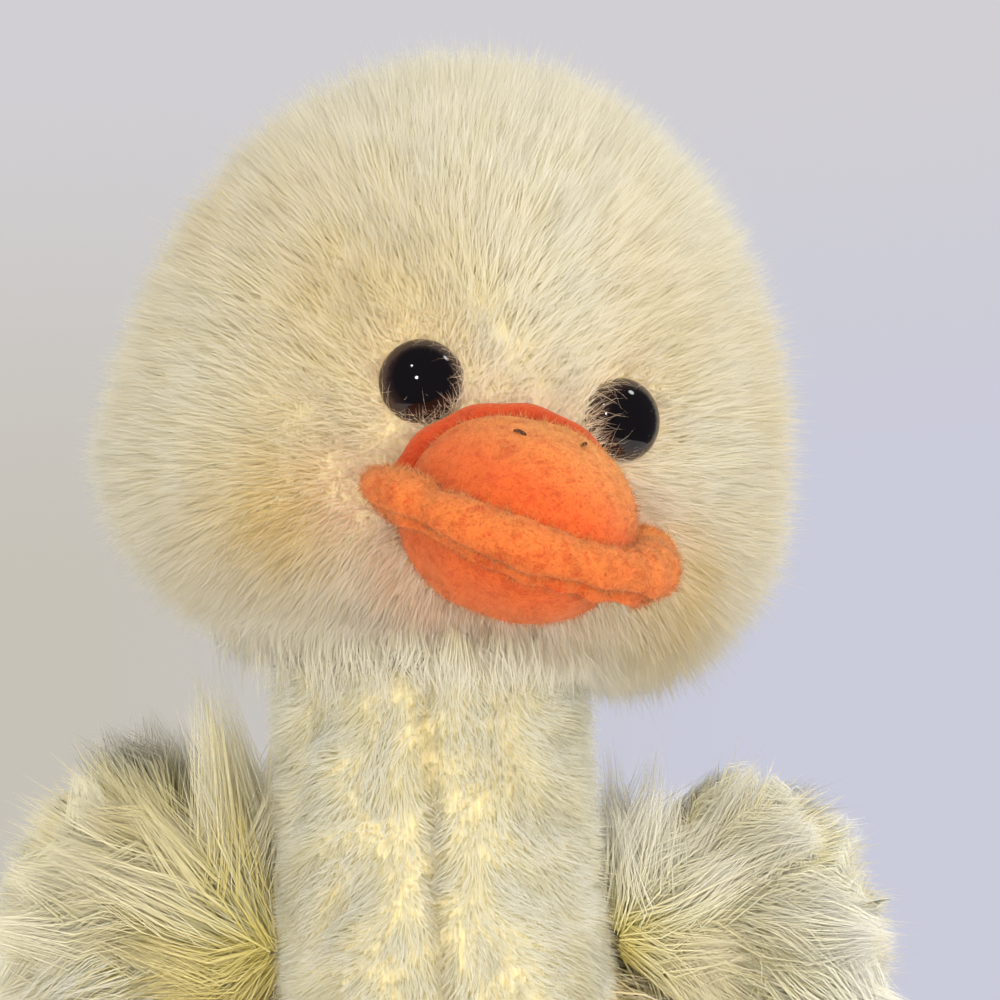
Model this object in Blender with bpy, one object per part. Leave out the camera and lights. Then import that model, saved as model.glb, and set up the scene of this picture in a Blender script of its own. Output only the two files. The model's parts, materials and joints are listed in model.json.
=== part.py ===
# A sitting plush duck. Its head is turned and tipped towards its left shoulder.
# Metres, +Z up, the duck looks along -Y, and the origin is under the middle of its seat.

import math

import bmesh
import bpy
import numpy as np
from mathutils import Matrix, Vector

# Fits shared by all pieces
touch_gap = 0.0003  # between two pieces that rest on each other
joint_gap = 0.0005  # between two pieces that move on each other
cut_overrun = 0.010  # how far a cutter runs past what it cuts

# Body: a pear that leans back at its shoulders
body_height = 0.178
body_width = 0.150
body_depth = 0.140
body_wall = 0.007  # plush backing and its pile
cover_lift = 0.001  # cover hem above the surface that the seat rests on
# height, half width, half depth and set-back of each ring, as shares of the sizes above
body_shares = (
    (0.000, 0.693, 0.700, 0.000),
    (0.020, 0.800, 0.800, 0.000),
    (0.056, 0.893, 0.893, 0.000),
    (0.135, 0.973, 0.971, 0.014),
    (0.253, 1.000, 1.000, 0.029),
    (0.348, 0.993, 1.000, 0.043),
    (0.483, 0.933, 0.950, 0.071),
    (0.607, 0.833, 0.857, 0.114),
    (0.719, 0.713, 0.757, 0.171),
    (0.820, 0.607, 0.657, 0.257),
    (0.899, 0.527, 0.557, 0.343),
    (0.955, 0.413, 0.414, 0.400),
    (0.989, 0.253, 0.243, 0.443),
    (1.000, 0.000, 0.000, 0.450),
)
seat_thickness = 0.006
seat_rim_share = 0.960  # seat panel against the hem of the cover
pellet_bag_width = 0.096
pellet_bag_depth = 0.090
pellet_bag_height = 0.030

# Neck: a tube of two panels round a stuffed core
neck_base_height = 0.130  # level of the fold that the neck leans on
neck_top_height = 0.213  # level of the seam under the head
neck_base_radius = 0.033
neck_top_radius = 0.0305
neck_panel_thickness = 0.005
neck_seam_depth = 0.003
neck_seam_width = 0.0026
neck_dome_height = 0.014
neck_room_forward = 12.0  # the collar leaves the neck this much lean
neck_room_back = 8.0

# Head, in its own frame: its middle lies over the neck, and it looks along -Y before it turns
head_middle_height = 0.235
head_middle_offset = 0.0025
head_turn = 16.0
head_tip = 14.0
head_width = 0.132
head_front_depth = 0.054
head_back_depth = 0.057
head_crown_height = 0.082
head_jaw_depth = 0.036
head_cheek_level = 0.007
head_jaw_power = 0.78  # under 1 fills the cheeks out
head_wall = 0.009
head_skirt_drop = 0.014  # how far the socket runs below the neck's top

# Eyes: domed, on a ridged shank with a toothed washer behind the cover
eye_spacing = 0.0404
eye_level = 0.0262
eye_radius = 0.0075
eye_dome_height = 0.005
eye_rim_thickness = 0.0010
eye_sink = 0.001
eye_bowl_clearance = 0.0008
eye_bowl_flare = 0.0035
shank_radius = 0.0019
shank_length = 0.012
shank_ridge_height = 0.0005
shank_ridge_count = 4
washer_radius = 0.0055
washer_thickness = 0.0012
washer_tooth_depth = 0.0013
washer_tooth_count = 8
washer_pocket_clearance = 0.0006

# Bill: an upper and a lower dome with a rolled lip between them, pitched down from its root on the face
bill_root = 0.0525
bill_level = 0.0048
bill_droop = 6.5
bill_width = 0.0403
bill_reach = 0.0275
bill_upper_height = 0.0175
bill_lower_depth = 0.0171
lip_width = 0.0473
lip_reach = 0.0245
lip_set_forward = 0.0015  # the lip's ends before the middle of the domes
lip_sag = 0.0035
lip_tail = 0.006
lip_depth_radius = 0.0052
lip_height_radius = 0.0044
lip_swell = 0.0007

# Wings: fan-shaped pads, each sewn along a seam on the shoulder
wing_seam_set_back = 0.018
wing_stand_off = 0.0014  # seam outside the body's curve
wing_seam_low_share = 0.735
wing_seam_high_share = 0.925
wing_reach = 0.054
wing_half_height = 0.042
wing_half_thickness = 0.016
wing_root_radius = 0.0034
wing_fall_start = 0.0
wing_fall_end = 95.0
wing_fan = 70.0
wing_lift = {"left": 0.0, "right": 11.0}
# reach, half height and half thickness of each ring, as shares
wing_shares = (
    (0.05, 0.45, 0.20),
    (0.10, 0.52, 0.22),
    (0.20, 0.70, 0.44),
    (0.32, 0.89, 0.75),
    (0.48, 1.00, 0.97),
    (0.64, 1.00, 1.00),
    (0.79, 0.89, 0.88),
    (0.91, 0.64, 0.64),
    (0.98, 0.31, 0.34),
)

# Feet: webbed pads with three toes, sewn along their heels
foot_turnout = 33.0
foot_hinge_height = 0.0052
foot_stand_off = 0.0015  # seam of the heel outside the body's curve, under its swell
foot_reach = 0.068
foot_half_width = 0.031
foot_top = 0.0085
foot_bottom = 0.0046
foot_toe = 0.0050
foot_root_radius = 0.0027
foot_root_half_width = 0.0125
foot_shares = (
    (0.05, 0.40, 0.31),
    (0.11, 0.43, 0.34),
    (0.24, 0.56, 0.56),
    (0.42, 0.74, 0.88),
    (0.60, 0.92, 1.00),
    (0.76, 1.00, 1.00),
    (0.88, 0.90, 0.86),
    (0.96, 0.62, 0.56),
    (0.99, 0.30, 0.28),
)

# Tail: a short pointed pad
tail_height_share = 0.245
tail_stand_off = 0.0019  # seam of the root outside the body's curve
tail_rise = 36.0
tail_reach = 0.046
tail_half_width = 0.024
tail_half_thickness = 0.010
tail_root_radius = 0.0034
tail_root_half_width = 0.017
tail_shares = (
    (0.05, 0.71, 0.33),
    (0.12, 0.76, 0.37),
    (0.27, 0.93, 0.72),
    (0.44, 1.00, 1.00),
    (0.62, 0.90, 0.96),
    (0.80, 0.62, 0.72),
    (0.93, 0.32, 0.40),
)


def clear_scene():
    for old in list(bpy.data.objects):
        bpy.data.objects.remove(old, do_unlink=True)


def finish(name, colour, roughness, metallic=0.0):
    # One plain material per piece
    material = bpy.data.materials.new(name)
    material.use_nodes = True
    shader = material.node_tree.nodes["Principled BSDF"]
    shader.inputs["Base Color"].default_value = (*colour, 1.0)
    shader.inputs["Roughness"].default_value = roughness
    shader.inputs["Metallic"].default_value = metallic
    return material


cream = (0.78, 0.70, 0.47)
orange = (0.83, 0.24, 0.06)
filling = (0.85, 0.84, 0.80)


def add_object(name, bm, look=None, parent=None):
    # Closes the mesh off: normals outwards, round faces smooth
    bmesh.ops.recalc_face_normals(bm, faces=bm.faces)
    mesh = bpy.data.meshes.new(name)
    bm.to_mesh(mesh)
    bm.free()
    mesh.shade_smooth()
    mesh.set_sharp_from_angle(angle=math.radians(40))
    piece = bpy.data.objects.new(name, mesh)
    bpy.context.collection.objects.link(piece)
    piece.parent = parent
    if look:
        mesh.materials.append(finish(name, *look))
    else:
        piece.hide_render = True
        piece.display_type = "WIRE"
    return piece


def add_empty(name, location, parent=None, rotation=None):
    frame = bpy.data.objects.new(name, None)
    bpy.context.collection.objects.link(frame)
    frame.parent = parent
    frame.location = location
    if rotation:
        frame.rotation_mode = "QUATERNION"
        frame.rotation_quaternion = rotation
    return frame


def skin(rings, first=None, last=None):
    # Joins closed rings of points into one skin, each end a pole or, without one, a flat cap
    bm = bmesh.new()
    loops = [[bm.verts.new(point) for point in ring] for ring in rings]
    for low, high in zip(loops, loops[1:]):
        for i in range(len(low)):
            j = (i + 1) % len(low)
            bm.faces.new((low[i], low[j], high[j], high[i]))
    for pole, loop in ((first, loops[0]), (last, loops[-1])):
        if pole is None:
            bm.faces.new(loop)
            continue
        tip = bm.verts.new(pole)
        for i in range(len(loop)):
            bm.faces.new((loop[i], loop[(i + 1) % len(loop)], tip))
    return bm


def circle_angles(count):
    return np.arange(count) * (2 * math.pi / count)


def turned(profile, count):
    # A profile of (radius, height) points turned about Z; its two ends lie on the axis
    angles = circle_angles(count)
    rings = [
        np.stack([r * np.cos(angles), r * np.sin(angles), np.full(count, z)], 1)
        for r, z in profile[1:-1]
    ]
    return skin(rings, (0, 0, profile[0][1]), (0, 0, profile[-1][1]))


def cut(piece, cutter):
    step = piece.modifiers.new(cutter.name, "BOOLEAN")
    step.operation = "DIFFERENCE"
    step.solver = "EXACT"
    step.object = cutter


def body_ring_at(share, shrink=0.0):
    # Half width, half depth and set-back of the body at a share of its height
    table = np.array(body_shares)
    wide, deep, back = (np.interp(share, table[:, 0], table[:, i]) for i in (1, 2, 3))
    return (
        wide * (body_width / 2 - shrink),
        deep * (body_depth / 2 - shrink),
        back * body_depth / 2,
    )


def body_level(share, shrink=0.0):
    return cover_lift + shrink + share * (body_height - cover_lift - 2 * shrink)


def body_form(shrink, count):
    # Elliptic rings up the pear, drawn in by shrink on every side
    angles = circle_angles(count)
    rings = []
    for share, *_ in body_shares[:-1]:
        wide, deep, back = body_ring_at(share, shrink)
        level = np.full(count, body_level(share, shrink))
        rings.append(np.stack([wide * np.cos(angles), back + deep * np.sin(angles), level], 1))
    top = (0, body_ring_at(1.0)[2], body_level(1.0, shrink))
    return skin(rings, None, top)


def neck_radius(height):
    share = (height - neck_base_height) / (neck_top_height - neck_base_height)
    return neck_base_radius + share * (neck_top_radius - neck_base_radius)


def neck_seat_cutter():
    # A bowl under the neck's fold, and above it the column fanned out by the angles that it leans
    radius = neck_base_radius + joint_gap
    angles = circle_angles(40)
    rings = []
    for tilt in np.linspace(-78, 0, 7):
        across = radius * math.cos(math.radians(tilt))
        level = radius * math.sin(math.radians(tilt))
        rings.append(
            np.stack([across * np.cos(angles), across * np.sin(angles), np.full(40, level)], 1)
        )
    height = body_height - neck_base_height + cut_overrun
    forward = radius + height * math.tan(math.radians(neck_room_forward))
    back = radius + height * math.tan(math.radians(neck_room_back))
    depth = np.where(np.sin(angles) < 0, forward, back)
    rings.append(np.stack([radius * np.cos(angles), depth * np.sin(angles), np.full(40, height)], 1))
    return skin(rings, (0, 0, -radius), None)


def root_groove(radius, half_length):
    # A round groove along Z for the sewn edge of a limb
    reach = half_length + touch_gap
    return turned(((0, -reach), (radius, -reach), (radius, reach), (0, reach)), 20)


def make_body():
    cover = add_object("body_cover", body_form(0.0, 32), (cream, 0.9))
    lining = add_object("body_lining_cutter", body_form(body_wall, 20))
    stuffing = add_object("body_stuffing", body_form(body_wall + touch_gap, 20), (filling, 1.0))
    cut(cover, lining)

    # The seat panel closes the hem
    wide, deep, _ = body_ring_at(0.0)
    angles = circle_angles(32)

    def seat_disc(margin, low, high):
        across = wide * seat_rim_share + margin
        along = deep * seat_rim_share + margin
        rings = [
            np.stack([across * np.cos(angles), along * np.sin(angles), np.full(32, z)], 1)
            for z in (low, high)
        ]
        return skin(rings)

    add_object("seat_panel", seat_disc(0.0, 0.0, seat_thickness), (cream, 0.9))
    hole = add_object("seat_cutter", seat_disc(touch_gap, -cut_overrun, seat_thickness + cut_overrun))
    cut(cover, hole)

    # The pellet bag lies on the seat, and the stuffing over both
    bag_low = seat_thickness + touch_gap
    bag_angles = circle_angles(24)

    def bag_form(swell):
        rings = []
        for tilt in np.linspace(-80, 80, 9):
            round_share = math.cos(math.radians(tilt)) ** 0.6
            rise_share = 0.5 + 0.5 * math.sin(math.radians(tilt))
            across = (pellet_bag_width / 2 + swell) * round_share
            along = (pellet_bag_depth / 2 + swell) * round_share
            level = np.full(24, bag_low - swell + rise_share * (pellet_bag_height + 2 * swell))
            rings.append(
                np.stack([across * np.cos(bag_angles), along * np.sin(bag_angles), level], 1)
            )
        return skin(rings)

    add_object("pellet_bag", bag_form(0.0), (filling, 0.9))
    cut(stuffing, add_object("pellet_bag_cutter", bag_form(touch_gap)))

    neck_base = add_empty("neck_base", (0, 0, neck_base_height))
    seat = add_object("neck_seat_cutter", neck_seat_cutter(), parent=neck_base)
    cut(cover, seat)
    cut(stuffing, seat)
    return cover, neck_base


def make_neck(neck_base):
    core_drop = neck_panel_thickness
    rise = neck_top_height - neck_base_height
    profile = [(0, -neck_base_radius)]
    for tilt in np.radians(np.linspace(-75, 0, 6)):
        profile.append((neck_base_radius * math.cos(tilt), neck_base_radius * math.sin(tilt)))
    profile.append((neck_base_radius - core_drop, 0))
    top_core = neck_top_radius - core_drop
    for tilt in np.radians(np.linspace(0, 75, 6)):
        profile.append((top_core * math.cos(tilt), rise + neck_dome_height * math.sin(tilt)))
    profile.append((0, rise + neck_dome_height))
    add_object("neck_stuffing", turned(profile, 24), (filling, 1.0), neck_base)

    # Each panel is half a tube that dips into the seams at the front and the back
    arc = 90 - math.degrees(touch_gap / 2 / neck_top_radius)
    outer = np.radians(-arc * np.cos(np.linspace(0, math.pi, 19)))
    inner = np.radians(np.linspace(arc, -arc, 13))
    for side, sign in (("left", 1), ("right", -1)):
        rings = []
        for share in np.linspace(0, 1, 6):
            level = touch_gap + share * (rise - touch_gap)
            radius = neck_radius(neck_base_height + level)
            to_seam = radius * np.minimum(outer + math.pi / 2, math.pi / 2 - outer)
            skin_radius = radius - neck_seam_depth * np.exp(-((to_seam / neck_seam_width) ** 2))
            core_radius = np.full(len(inner), radius - core_drop + touch_gap)
            spread = np.concatenate([skin_radius, core_radius])
            turn = np.concatenate([outer, inner])
            level_row = np.full(len(turn), level)
            rings.append(
                np.stack([sign * spread * np.cos(turn), spread * np.sin(turn), level_row], 1)
            )
        add_object("neck_panel_" + side, skin(rings), (cream, 0.9), neck_base)


def head_form(grow, around, down):
    # A rounded crown over full cheeks, grown by grow on every side
    angles = circle_angles(around)
    half_width = head_width / 2 + grow
    depth = np.where(np.sin(angles) < 0, head_front_depth + grow, head_back_depth + grow)
    rings = []
    for tilt in np.radians(np.linspace(-90, 90, down + 1)[1:-1]):
        if tilt > 0:
            level = head_cheek_level + (head_crown_height + grow) * math.sin(tilt)
            spread = math.cos(tilt)
        else:
            level = head_cheek_level + (head_jaw_depth + grow) * math.sin(tilt)
            spread = math.cos(tilt) ** head_jaw_power
        rings.append(
            np.stack(
                [
                    half_width * spread * np.cos(angles),
                    depth * spread * np.sin(angles),
                    np.full(around, level),
                ],
                1,
            )
        )
    low = (0, 0, head_cheek_level - head_jaw_depth - grow)
    high = (0, 0, head_cheek_level + head_crown_height + grow)
    return skin(rings, low, high)


def face_point(across, level):
    # The point of the face at a place across it and a level, and the way that it faces
    rise = (level - head_cheek_level) / head_crown_height
    spread = math.sqrt(1 - rise**2)
    depth = -head_front_depth * math.sqrt(spread**2 - (across / (head_width / 2)) ** 2)
    facing = Vector(
        (
            across / (head_width / 2) ** 2,
            depth / head_front_depth**2,
            (level - head_cheek_level) / head_crown_height**2,
        )
    ).normalized()
    return Vector((across, depth, level)), facing


def head_socket_cutter():
    # The neck's top and its dome, with room to turn
    skirt = -head_skirt_drop
    radius = neck_radius(neck_top_height - head_skirt_drop) + joint_gap
    core = neck_top_radius - neck_panel_thickness + joint_gap
    dome = neck_dome_height + joint_gap
    profile = [(0, skirt - cut_overrun), (radius, skirt - cut_overrun), (radius, joint_gap)]
    for tilt in np.radians(np.linspace(0, 75, 6)):
        profile.append((core * math.cos(tilt), joint_gap + dome * math.sin(tilt)))
    profile.append((0, joint_gap + dome))
    return turned(profile, 40)


def make_head(neck_base):
    rise = neck_top_height - neck_base_height
    turn_axis = add_empty("head_turn_axis", (0, 0, rise), neck_base)
    pose = Matrix.Rotation(math.radians(head_turn), 3, "Z")
    pose = pose @ Matrix.Rotation(math.radians(head_tip), 3, "Y")
    middle = (head_middle_offset, 0, head_middle_height - neck_top_height)
    head = add_empty("head_middle", middle, turn_axis, pose.to_quaternion())

    cover = add_object("head_cover", head_form(0.0, 32, 18), (cream, 0.9), head)
    stuffing_form = head_form(-head_wall - touch_gap, 20, 12)
    stuffing = add_object("head_stuffing", stuffing_form, (filling, 1.0), head)
    lining = add_object("head_lining_cutter", head_form(-head_wall, 20, 12), parent=head)
    socket = add_object("head_socket_cutter", head_socket_cutter(), parent=turn_axis)
    cut(cover, lining)
    cut(cover, socket)
    cut(stuffing, socket)
    make_eyes(head, cover, stuffing)
    make_bill(head)


def eye_profile():
    # Shank with ridges, flat flange and dome, from the shank's tip to the top of the dome
    base = -eye_sink - eye_dome_height - eye_rim_thickness
    tip = base - shank_length
    pitch = shank_length / (shank_ridge_count + 1)
    ridge = shank_radius + shank_ridge_height
    profile = [(0, tip), (shank_radius * 0.8, tip)]
    for i in range(shank_ridge_count):
        profile.append((shank_radius, tip + (i + 0.55) * pitch))
        profile.append((ridge, tip + (i + 1) * pitch))
    profile.append((shank_radius, base))
    profile.append((eye_radius, base))
    for tilt in np.radians(np.linspace(0, 75, 6)):
        profile.append(
            (eye_radius * math.cos(tilt), base + eye_rim_thickness + eye_dome_height * math.sin(tilt))
        )
    profile.append((0, base + eye_rim_thickness + eye_dome_height))
    return profile


def washer_form():
    # A flat ring whose hole is cut into teeth that grip the shank
    count = 4 * washer_tooth_count
    angles = circle_angles(count)
    hole = shank_radius + shank_ridge_height + touch_gap
    tooth = np.where(np.arange(count) % 4 < 2, hole, hole + washer_tooth_depth)
    low = -head_wall - touch_gap - washer_thickness
    high = -head_wall - touch_gap
    bm = bmesh.new()
    loops = []
    for radius, level in ((washer_radius, low), (tooth, low), (tooth, high), (washer_radius, high)):
        points = zip(radius * np.cos(angles), radius * np.sin(angles))
        loops.append([bm.verts.new((x, y, level)) for x, y in points])
    for a, b in zip(loops, loops[1:] + loops[:1]):
        for i in range(count):
            j = (i + 1) % count
            bm.faces.new((a[i], a[j], b[j], b[i]))
    return bm


def make_eyes(head, cover, stuffing):
    base = -eye_sink - eye_dome_height - eye_rim_thickness
    hole = shank_radius + shank_ridge_height + touch_gap
    bowl = eye_radius + eye_bowl_clearance
    mouth = bowl + eye_bowl_flare
    pocket = washer_radius + washer_pocket_clearance
    for side, sign in (("left", 1), ("right", -1)):
        place, facing = face_point(sign * eye_spacing / 2, eye_level)
        upright = Vector((0, 0, 1)).rotation_difference(facing)
        socket = add_empty("eye_axis_" + side, place, head, upright)
        add_object("eye_" + side, turned(eye_profile(), 16), ((0.02, 0.012, 0.010), 0.08), socket)
        add_object("eye_washer_" + side, washer_form(), ((0.85, 0.85, 0.83), 0.5), socket)
        floor = base - touch_gap
        bowl_profile = (
            (0, -head_wall - cut_overrun),
            (hole, -head_wall - cut_overrun),
            (hole, floor),
            (bowl, floor),
            (mouth, eye_bowl_flare),
            (0, eye_bowl_flare),
        )
        cut(cover, add_object("eye_bowl_cutter_" + side, turned(bowl_profile, 20), parent=socket))
        back = base - shank_length - touch_gap
        pocket_profile = ((0, back), (pocket, back), (pocket, -head_wall), (0, -head_wall))
        recess = add_object("washer_pocket_cutter_" + side, turned(pocket_profile, 16), parent=socket)
        cut(cover, recess)
        cut(stuffing, recess)


def bill_dome(height):
    # A dome over an oval, its flat side on the lip's level
    angles = circle_angles(26)
    rings = []
    for tilt in np.radians(np.linspace(0, 76, 6)):
        across = bill_width / 2 * math.cos(tilt)
        along = bill_reach * math.cos(tilt)
        level = np.full(26, math.copysign(touch_gap / 2, height) + height * math.sin(tilt))
        rings.append(np.stack([across * np.cos(angles), along * np.sin(angles), level], 1))
    return skin(rings, None, (0, 0, math.copysign(touch_gap / 2, height) + height))


def lip_form(grow):
    # A fat roll carried round the front of the bill, with round ends against the face
    turns = np.radians(np.linspace(-90, 90, 15))
    half = lip_width / 2
    root = -lip_set_forward
    path = [(half * math.sin(t), root - lip_reach * math.cos(t), -lip_sag * math.cos(t)) for t in turns]
    swell = [lip_swell * math.cos(t) for t in turns]
    size = [1.0] * len(path)
    for share in (0.35, 0.7, 0.92):
        fade = math.sqrt(1 - share**2)
        tail = root + lip_tail * share
        path = [(-half, tail, 0)] + path + [(half, tail, 0)]
        swell = [0.0] + swell + [0.0]
        size = [fade] + size + [fade]
    path = np.array(path)
    along = np.gradient(path, axis=0)
    along[:, 2] = 0
    along /= np.linalg.norm(along, axis=1)[:, None]
    outward = np.stack([along[:, 1], -along[:, 0], np.zeros(len(path))], 1)
    angles = circle_angles(12)
    rings = []
    for spot, out, more, share in zip(path, outward, swell, size):
        across = (lip_depth_radius + grow) * share
        tall = (lip_height_radius + more + grow) * share
        rings.append(
            spot
            + across * np.cos(angles)[:, None] * out
            + tall * np.sin(angles)[:, None] * np.array((0.0, 0.0, 1.0))
        )
    back = root + lip_tail + grow
    return skin(rings, (-half, back, 0), (half, back, 0))


def make_bill(head):
    pitch = Matrix.Rotation(math.radians(bill_droop), 3, "X").to_quaternion()
    root = add_empty("bill_root", (0, -bill_root, bill_level), head, pitch)
    face = add_object("face_cutter", head_form(touch_gap, 32, 18), parent=head)
    roll = add_object("lip_cutter", lip_form(touch_gap), parent=root)
    for name, height in (("bill_upper", bill_upper_height), ("bill_lower", -bill_lower_depth)):
        dome = add_object(name, bill_dome(height), (orange, 0.85), root)
        cut(dome, roll)
        cut(dome, face)
    lip = add_object("bill_lip", lip_form(0.0), (orange, 0.85), root)
    cut(lip, face)


def make_wings(cover):
    low_share, high_share = wing_seam_low_share, wing_seam_high_share
    ends = []
    for share in (low_share, high_share):
        wide, deep, back = body_ring_at(share)
        across = wing_stand_off + wide * math.sqrt(1 - ((wing_seam_set_back - back) / deep) ** 2)
        ends.append(Vector((across, wing_seam_set_back, body_level(share))))
    middle = (ends[0] + ends[1]) / 2
    slant = math.atan2(ends[0].x - ends[1].x, ends[1].z - ends[0].z)
    root_half = (ends[1] - ends[0]).length / 2
    angles = circle_angles(24)
    for side, sign in (("left", 1), ("right", -1)):
        rings = []
        for share in (0.9, 0.5, 0.0):
            fade = math.sqrt(1 - share**2)
            tall = root_half * fade**0.4
            thick = wing_root_radius * fade
            along = np.full(24, -wing_root_radius * share)
            rings.append(np.stack([along, thick * np.sin(angles), tall * np.cos(angles)], 1))
        spot = np.zeros(2)
        before = 0.0
        for share, tall_share, thick_share in wing_shares:
            fall = wing_lift[side] - wing_fall_start - (share + before) / 2 * (wing_fall_end - wing_fall_start)
            step = (share - before) * wing_reach
            spot = spot + step * np.array((math.cos(math.radians(fall)), math.sin(math.radians(fall))))
            before = share
            lean = math.radians(wing_fan * share - wing_lift[side] * share)
            tall = wing_half_height * tall_share * np.cos(angles)
            thick = wing_half_thickness * thick_share * np.sin(angles)
            rings.append(
                np.stack([spot[0] + tall * math.sin(lean), thick, spot[1] + tall * math.cos(lean)], 1)
            )
        fall = math.radians(wing_lift[side] - wing_fall_end)
        tip = spot + (1 - before) * wing_reach * np.array((math.cos(fall), math.sin(fall)))
        rings = [ring * (sign, 1, 1) for ring in rings]
        first = (-sign * wing_root_radius, 0, 0)
        last = (sign * tip[0], 0, tip[1])
        wing = add_object("wing_" + side, skin(rings, first, last), (cream, 0.95))
        groove = add_object("wing_groove_" + side, root_groove(wing_root_radius + joint_gap, root_half))
        for piece in (wing, groove):
            piece.location = (sign * middle.x, middle.y, middle.z)
            piece.rotation_euler = (0, -sign * slant, 0)
        cut(cover, groove)


def sewn_pad(shares, reach, half_width, top, bottom, root_radius, root_half, toe):
    # A pad that grows out of a round sewn edge along X and swells forwards along -Y
    angles = circle_angles(26)
    rings = []
    for share in (0.9, 0.5, 0.0):
        fade = math.sqrt(1 - share**2)
        across = root_half * fade**0.4 * np.cos(angles)
        level = root_radius * fade * np.sin(angles)
        rings.append(np.stack([across, np.full(26, root_radius * share), level], 1))
    for share, wide_share, thick_share in shares:
        across = half_width * wide_share * np.cos(angles)
        round_side = np.abs(np.sin(angles)) ** 0.8
        thick = np.where(np.sin(angles) > 0, top, -bottom) * round_side * thick_share
        lobes = toe * share**3 * np.cos(3 * math.pi * across / half_width)
        rings.append(np.stack([across, -reach * share - lobes, thick], 1))
    return skin(rings, (0, root_radius, 0), (0, -reach - toe, 0))


def make_feet(cover):
    share = foot_hinge_height / body_height
    wide, deep, back = body_ring_at(share)
    for side, sign in (("left", 1), ("right", -1)):
        turn = math.radians(foot_turnout)
        facing = math.atan2(math.sin(turn) / wide, math.cos(turn) / deep)
        across = wide * math.sin(turn) + foot_stand_off * math.sin(facing)
        along = back - deep * math.cos(turn) - foot_stand_off * math.cos(facing)
        place = Vector((sign * across, along, foot_hinge_height))
        axis = add_empty("foot_axis_" + side, place, rotation=Matrix.Rotation(sign * facing, 3, "Z").to_quaternion())
        pad = sewn_pad(
            foot_shares,
            foot_reach,
            foot_half_width,
            foot_top,
            foot_bottom,
            foot_root_radius,
            foot_root_half_width,
            foot_toe,
        )
        add_object("foot_" + side, pad, (orange, 0.85), axis)
        groove_form = root_groove(foot_root_radius + joint_gap, foot_root_half_width)
        groove = add_object("foot_groove_" + side, groove_form, parent=axis)
        groove.rotation_euler = (0, math.pi / 2, 0)
        cut(cover, groove)


def make_tail(cover):
    _, deep, back = body_ring_at(tail_height_share)
    place = (0, back + deep + tail_stand_off, body_level(tail_height_share))
    rise = Matrix.Rotation(math.pi, 3, "Z") @ Matrix.Rotation(-math.radians(tail_rise), 3, "X")
    axis = add_empty("tail_axis", place, rotation=rise.to_quaternion())
    pad = sewn_pad(
        tail_shares,
        tail_reach,
        tail_half_width,
        tail_half_thickness,
        tail_half_thickness,
        tail_root_radius,
        tail_root_half_width,
        0.0,
    )
    add_object("tail", pad, (cream, 0.95), axis)
    groove_form = root_groove(tail_root_radius + joint_gap, tail_root_half_width)
    groove = add_object("tail_groove", groove_form, parent=axis)
    groove.rotation_euler = (0, math.pi / 2, 0)
    cut(cover, groove)


def main():
    clear_scene()
    cover, neck_base = make_body()
    make_neck(neck_base)
    make_head(neck_base)
    make_wings(cover)
    make_feet(cover)
    make_tail(cover)
    bpy.context.view_layer.update()


main()
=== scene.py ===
import json
import math

import bpy
import numpy as np
from mathutils import Matrix, Vector


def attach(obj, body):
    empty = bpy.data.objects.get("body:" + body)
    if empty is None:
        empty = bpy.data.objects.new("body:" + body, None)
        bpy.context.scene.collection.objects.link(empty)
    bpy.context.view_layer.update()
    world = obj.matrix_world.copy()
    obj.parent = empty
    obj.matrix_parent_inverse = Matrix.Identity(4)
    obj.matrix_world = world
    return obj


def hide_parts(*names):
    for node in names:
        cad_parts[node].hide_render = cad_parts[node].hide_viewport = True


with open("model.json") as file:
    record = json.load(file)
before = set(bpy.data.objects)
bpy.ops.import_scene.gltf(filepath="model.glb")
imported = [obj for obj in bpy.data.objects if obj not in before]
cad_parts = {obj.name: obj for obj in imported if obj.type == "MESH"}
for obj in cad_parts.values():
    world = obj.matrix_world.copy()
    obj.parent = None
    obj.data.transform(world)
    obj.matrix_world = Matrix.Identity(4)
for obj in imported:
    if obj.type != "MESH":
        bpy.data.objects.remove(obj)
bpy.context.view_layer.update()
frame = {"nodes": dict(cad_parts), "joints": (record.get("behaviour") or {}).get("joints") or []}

# A sitting plush duck: long pile on its head and body, short pile on its neck, shaggy wings,
# an orange bill and feet. Metres, +Z up, the duck looks along -Y.
nodes = frame["nodes"]
joints = {joint["name"]: joint for joint in frame["joints"]}
fullTurn = 2 * math.pi
sides = {"left": 1, "right": -1}
down = np.array((0, 0, -1.0))
flatPart = np.array((1, 1, 0))
print("frame loaded:", len(nodes), "nodes")


# Small maths


def unit(vectors):
    return vectors / np.maximum(np.linalg.norm(vectors, axis=-1, keepdims=True), 1e-12)


def spin(degrees, axis):
    # A turn about one axis, as a 3x3 array
    return np.array(Matrix.Rotation(math.radians(degrees), 3, axis))


def across(vectors, facing):
    # What is left of each vector once its part along the surface's normal is taken away
    return vectors - (vectors * facing).sum(-1, keepdims=True) * facing


def waveSet(seed, size, count=20):
    # Plane waves in random directions, their lengths spread about one size
    rng = np.random.default_rng(seed)
    length = size * rng.uniform(0.7, 1.5, count)
    push = unit(rng.normal(size=(count, 3))) * (fullTurn / length)[:, None]
    return push, rng.uniform(0, fullTurn, count), size


def lumps(points, waves):
    # Height: the sum of the cosines of all the waves at each point, spread about one
    push, start, _ = waves
    return np.cos(points @ push.T + start).sum(-1) * math.sqrt(2 / len(start))


def slopes(points, waves):
    # Uphill: the slope of that height, scaled so that a steep side is about one
    push, start, size = waves
    rise = -np.sin(points @ push.T + start) @ push
    return rise * math.sqrt(2 / len(start)) * size / fullTurn


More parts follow.
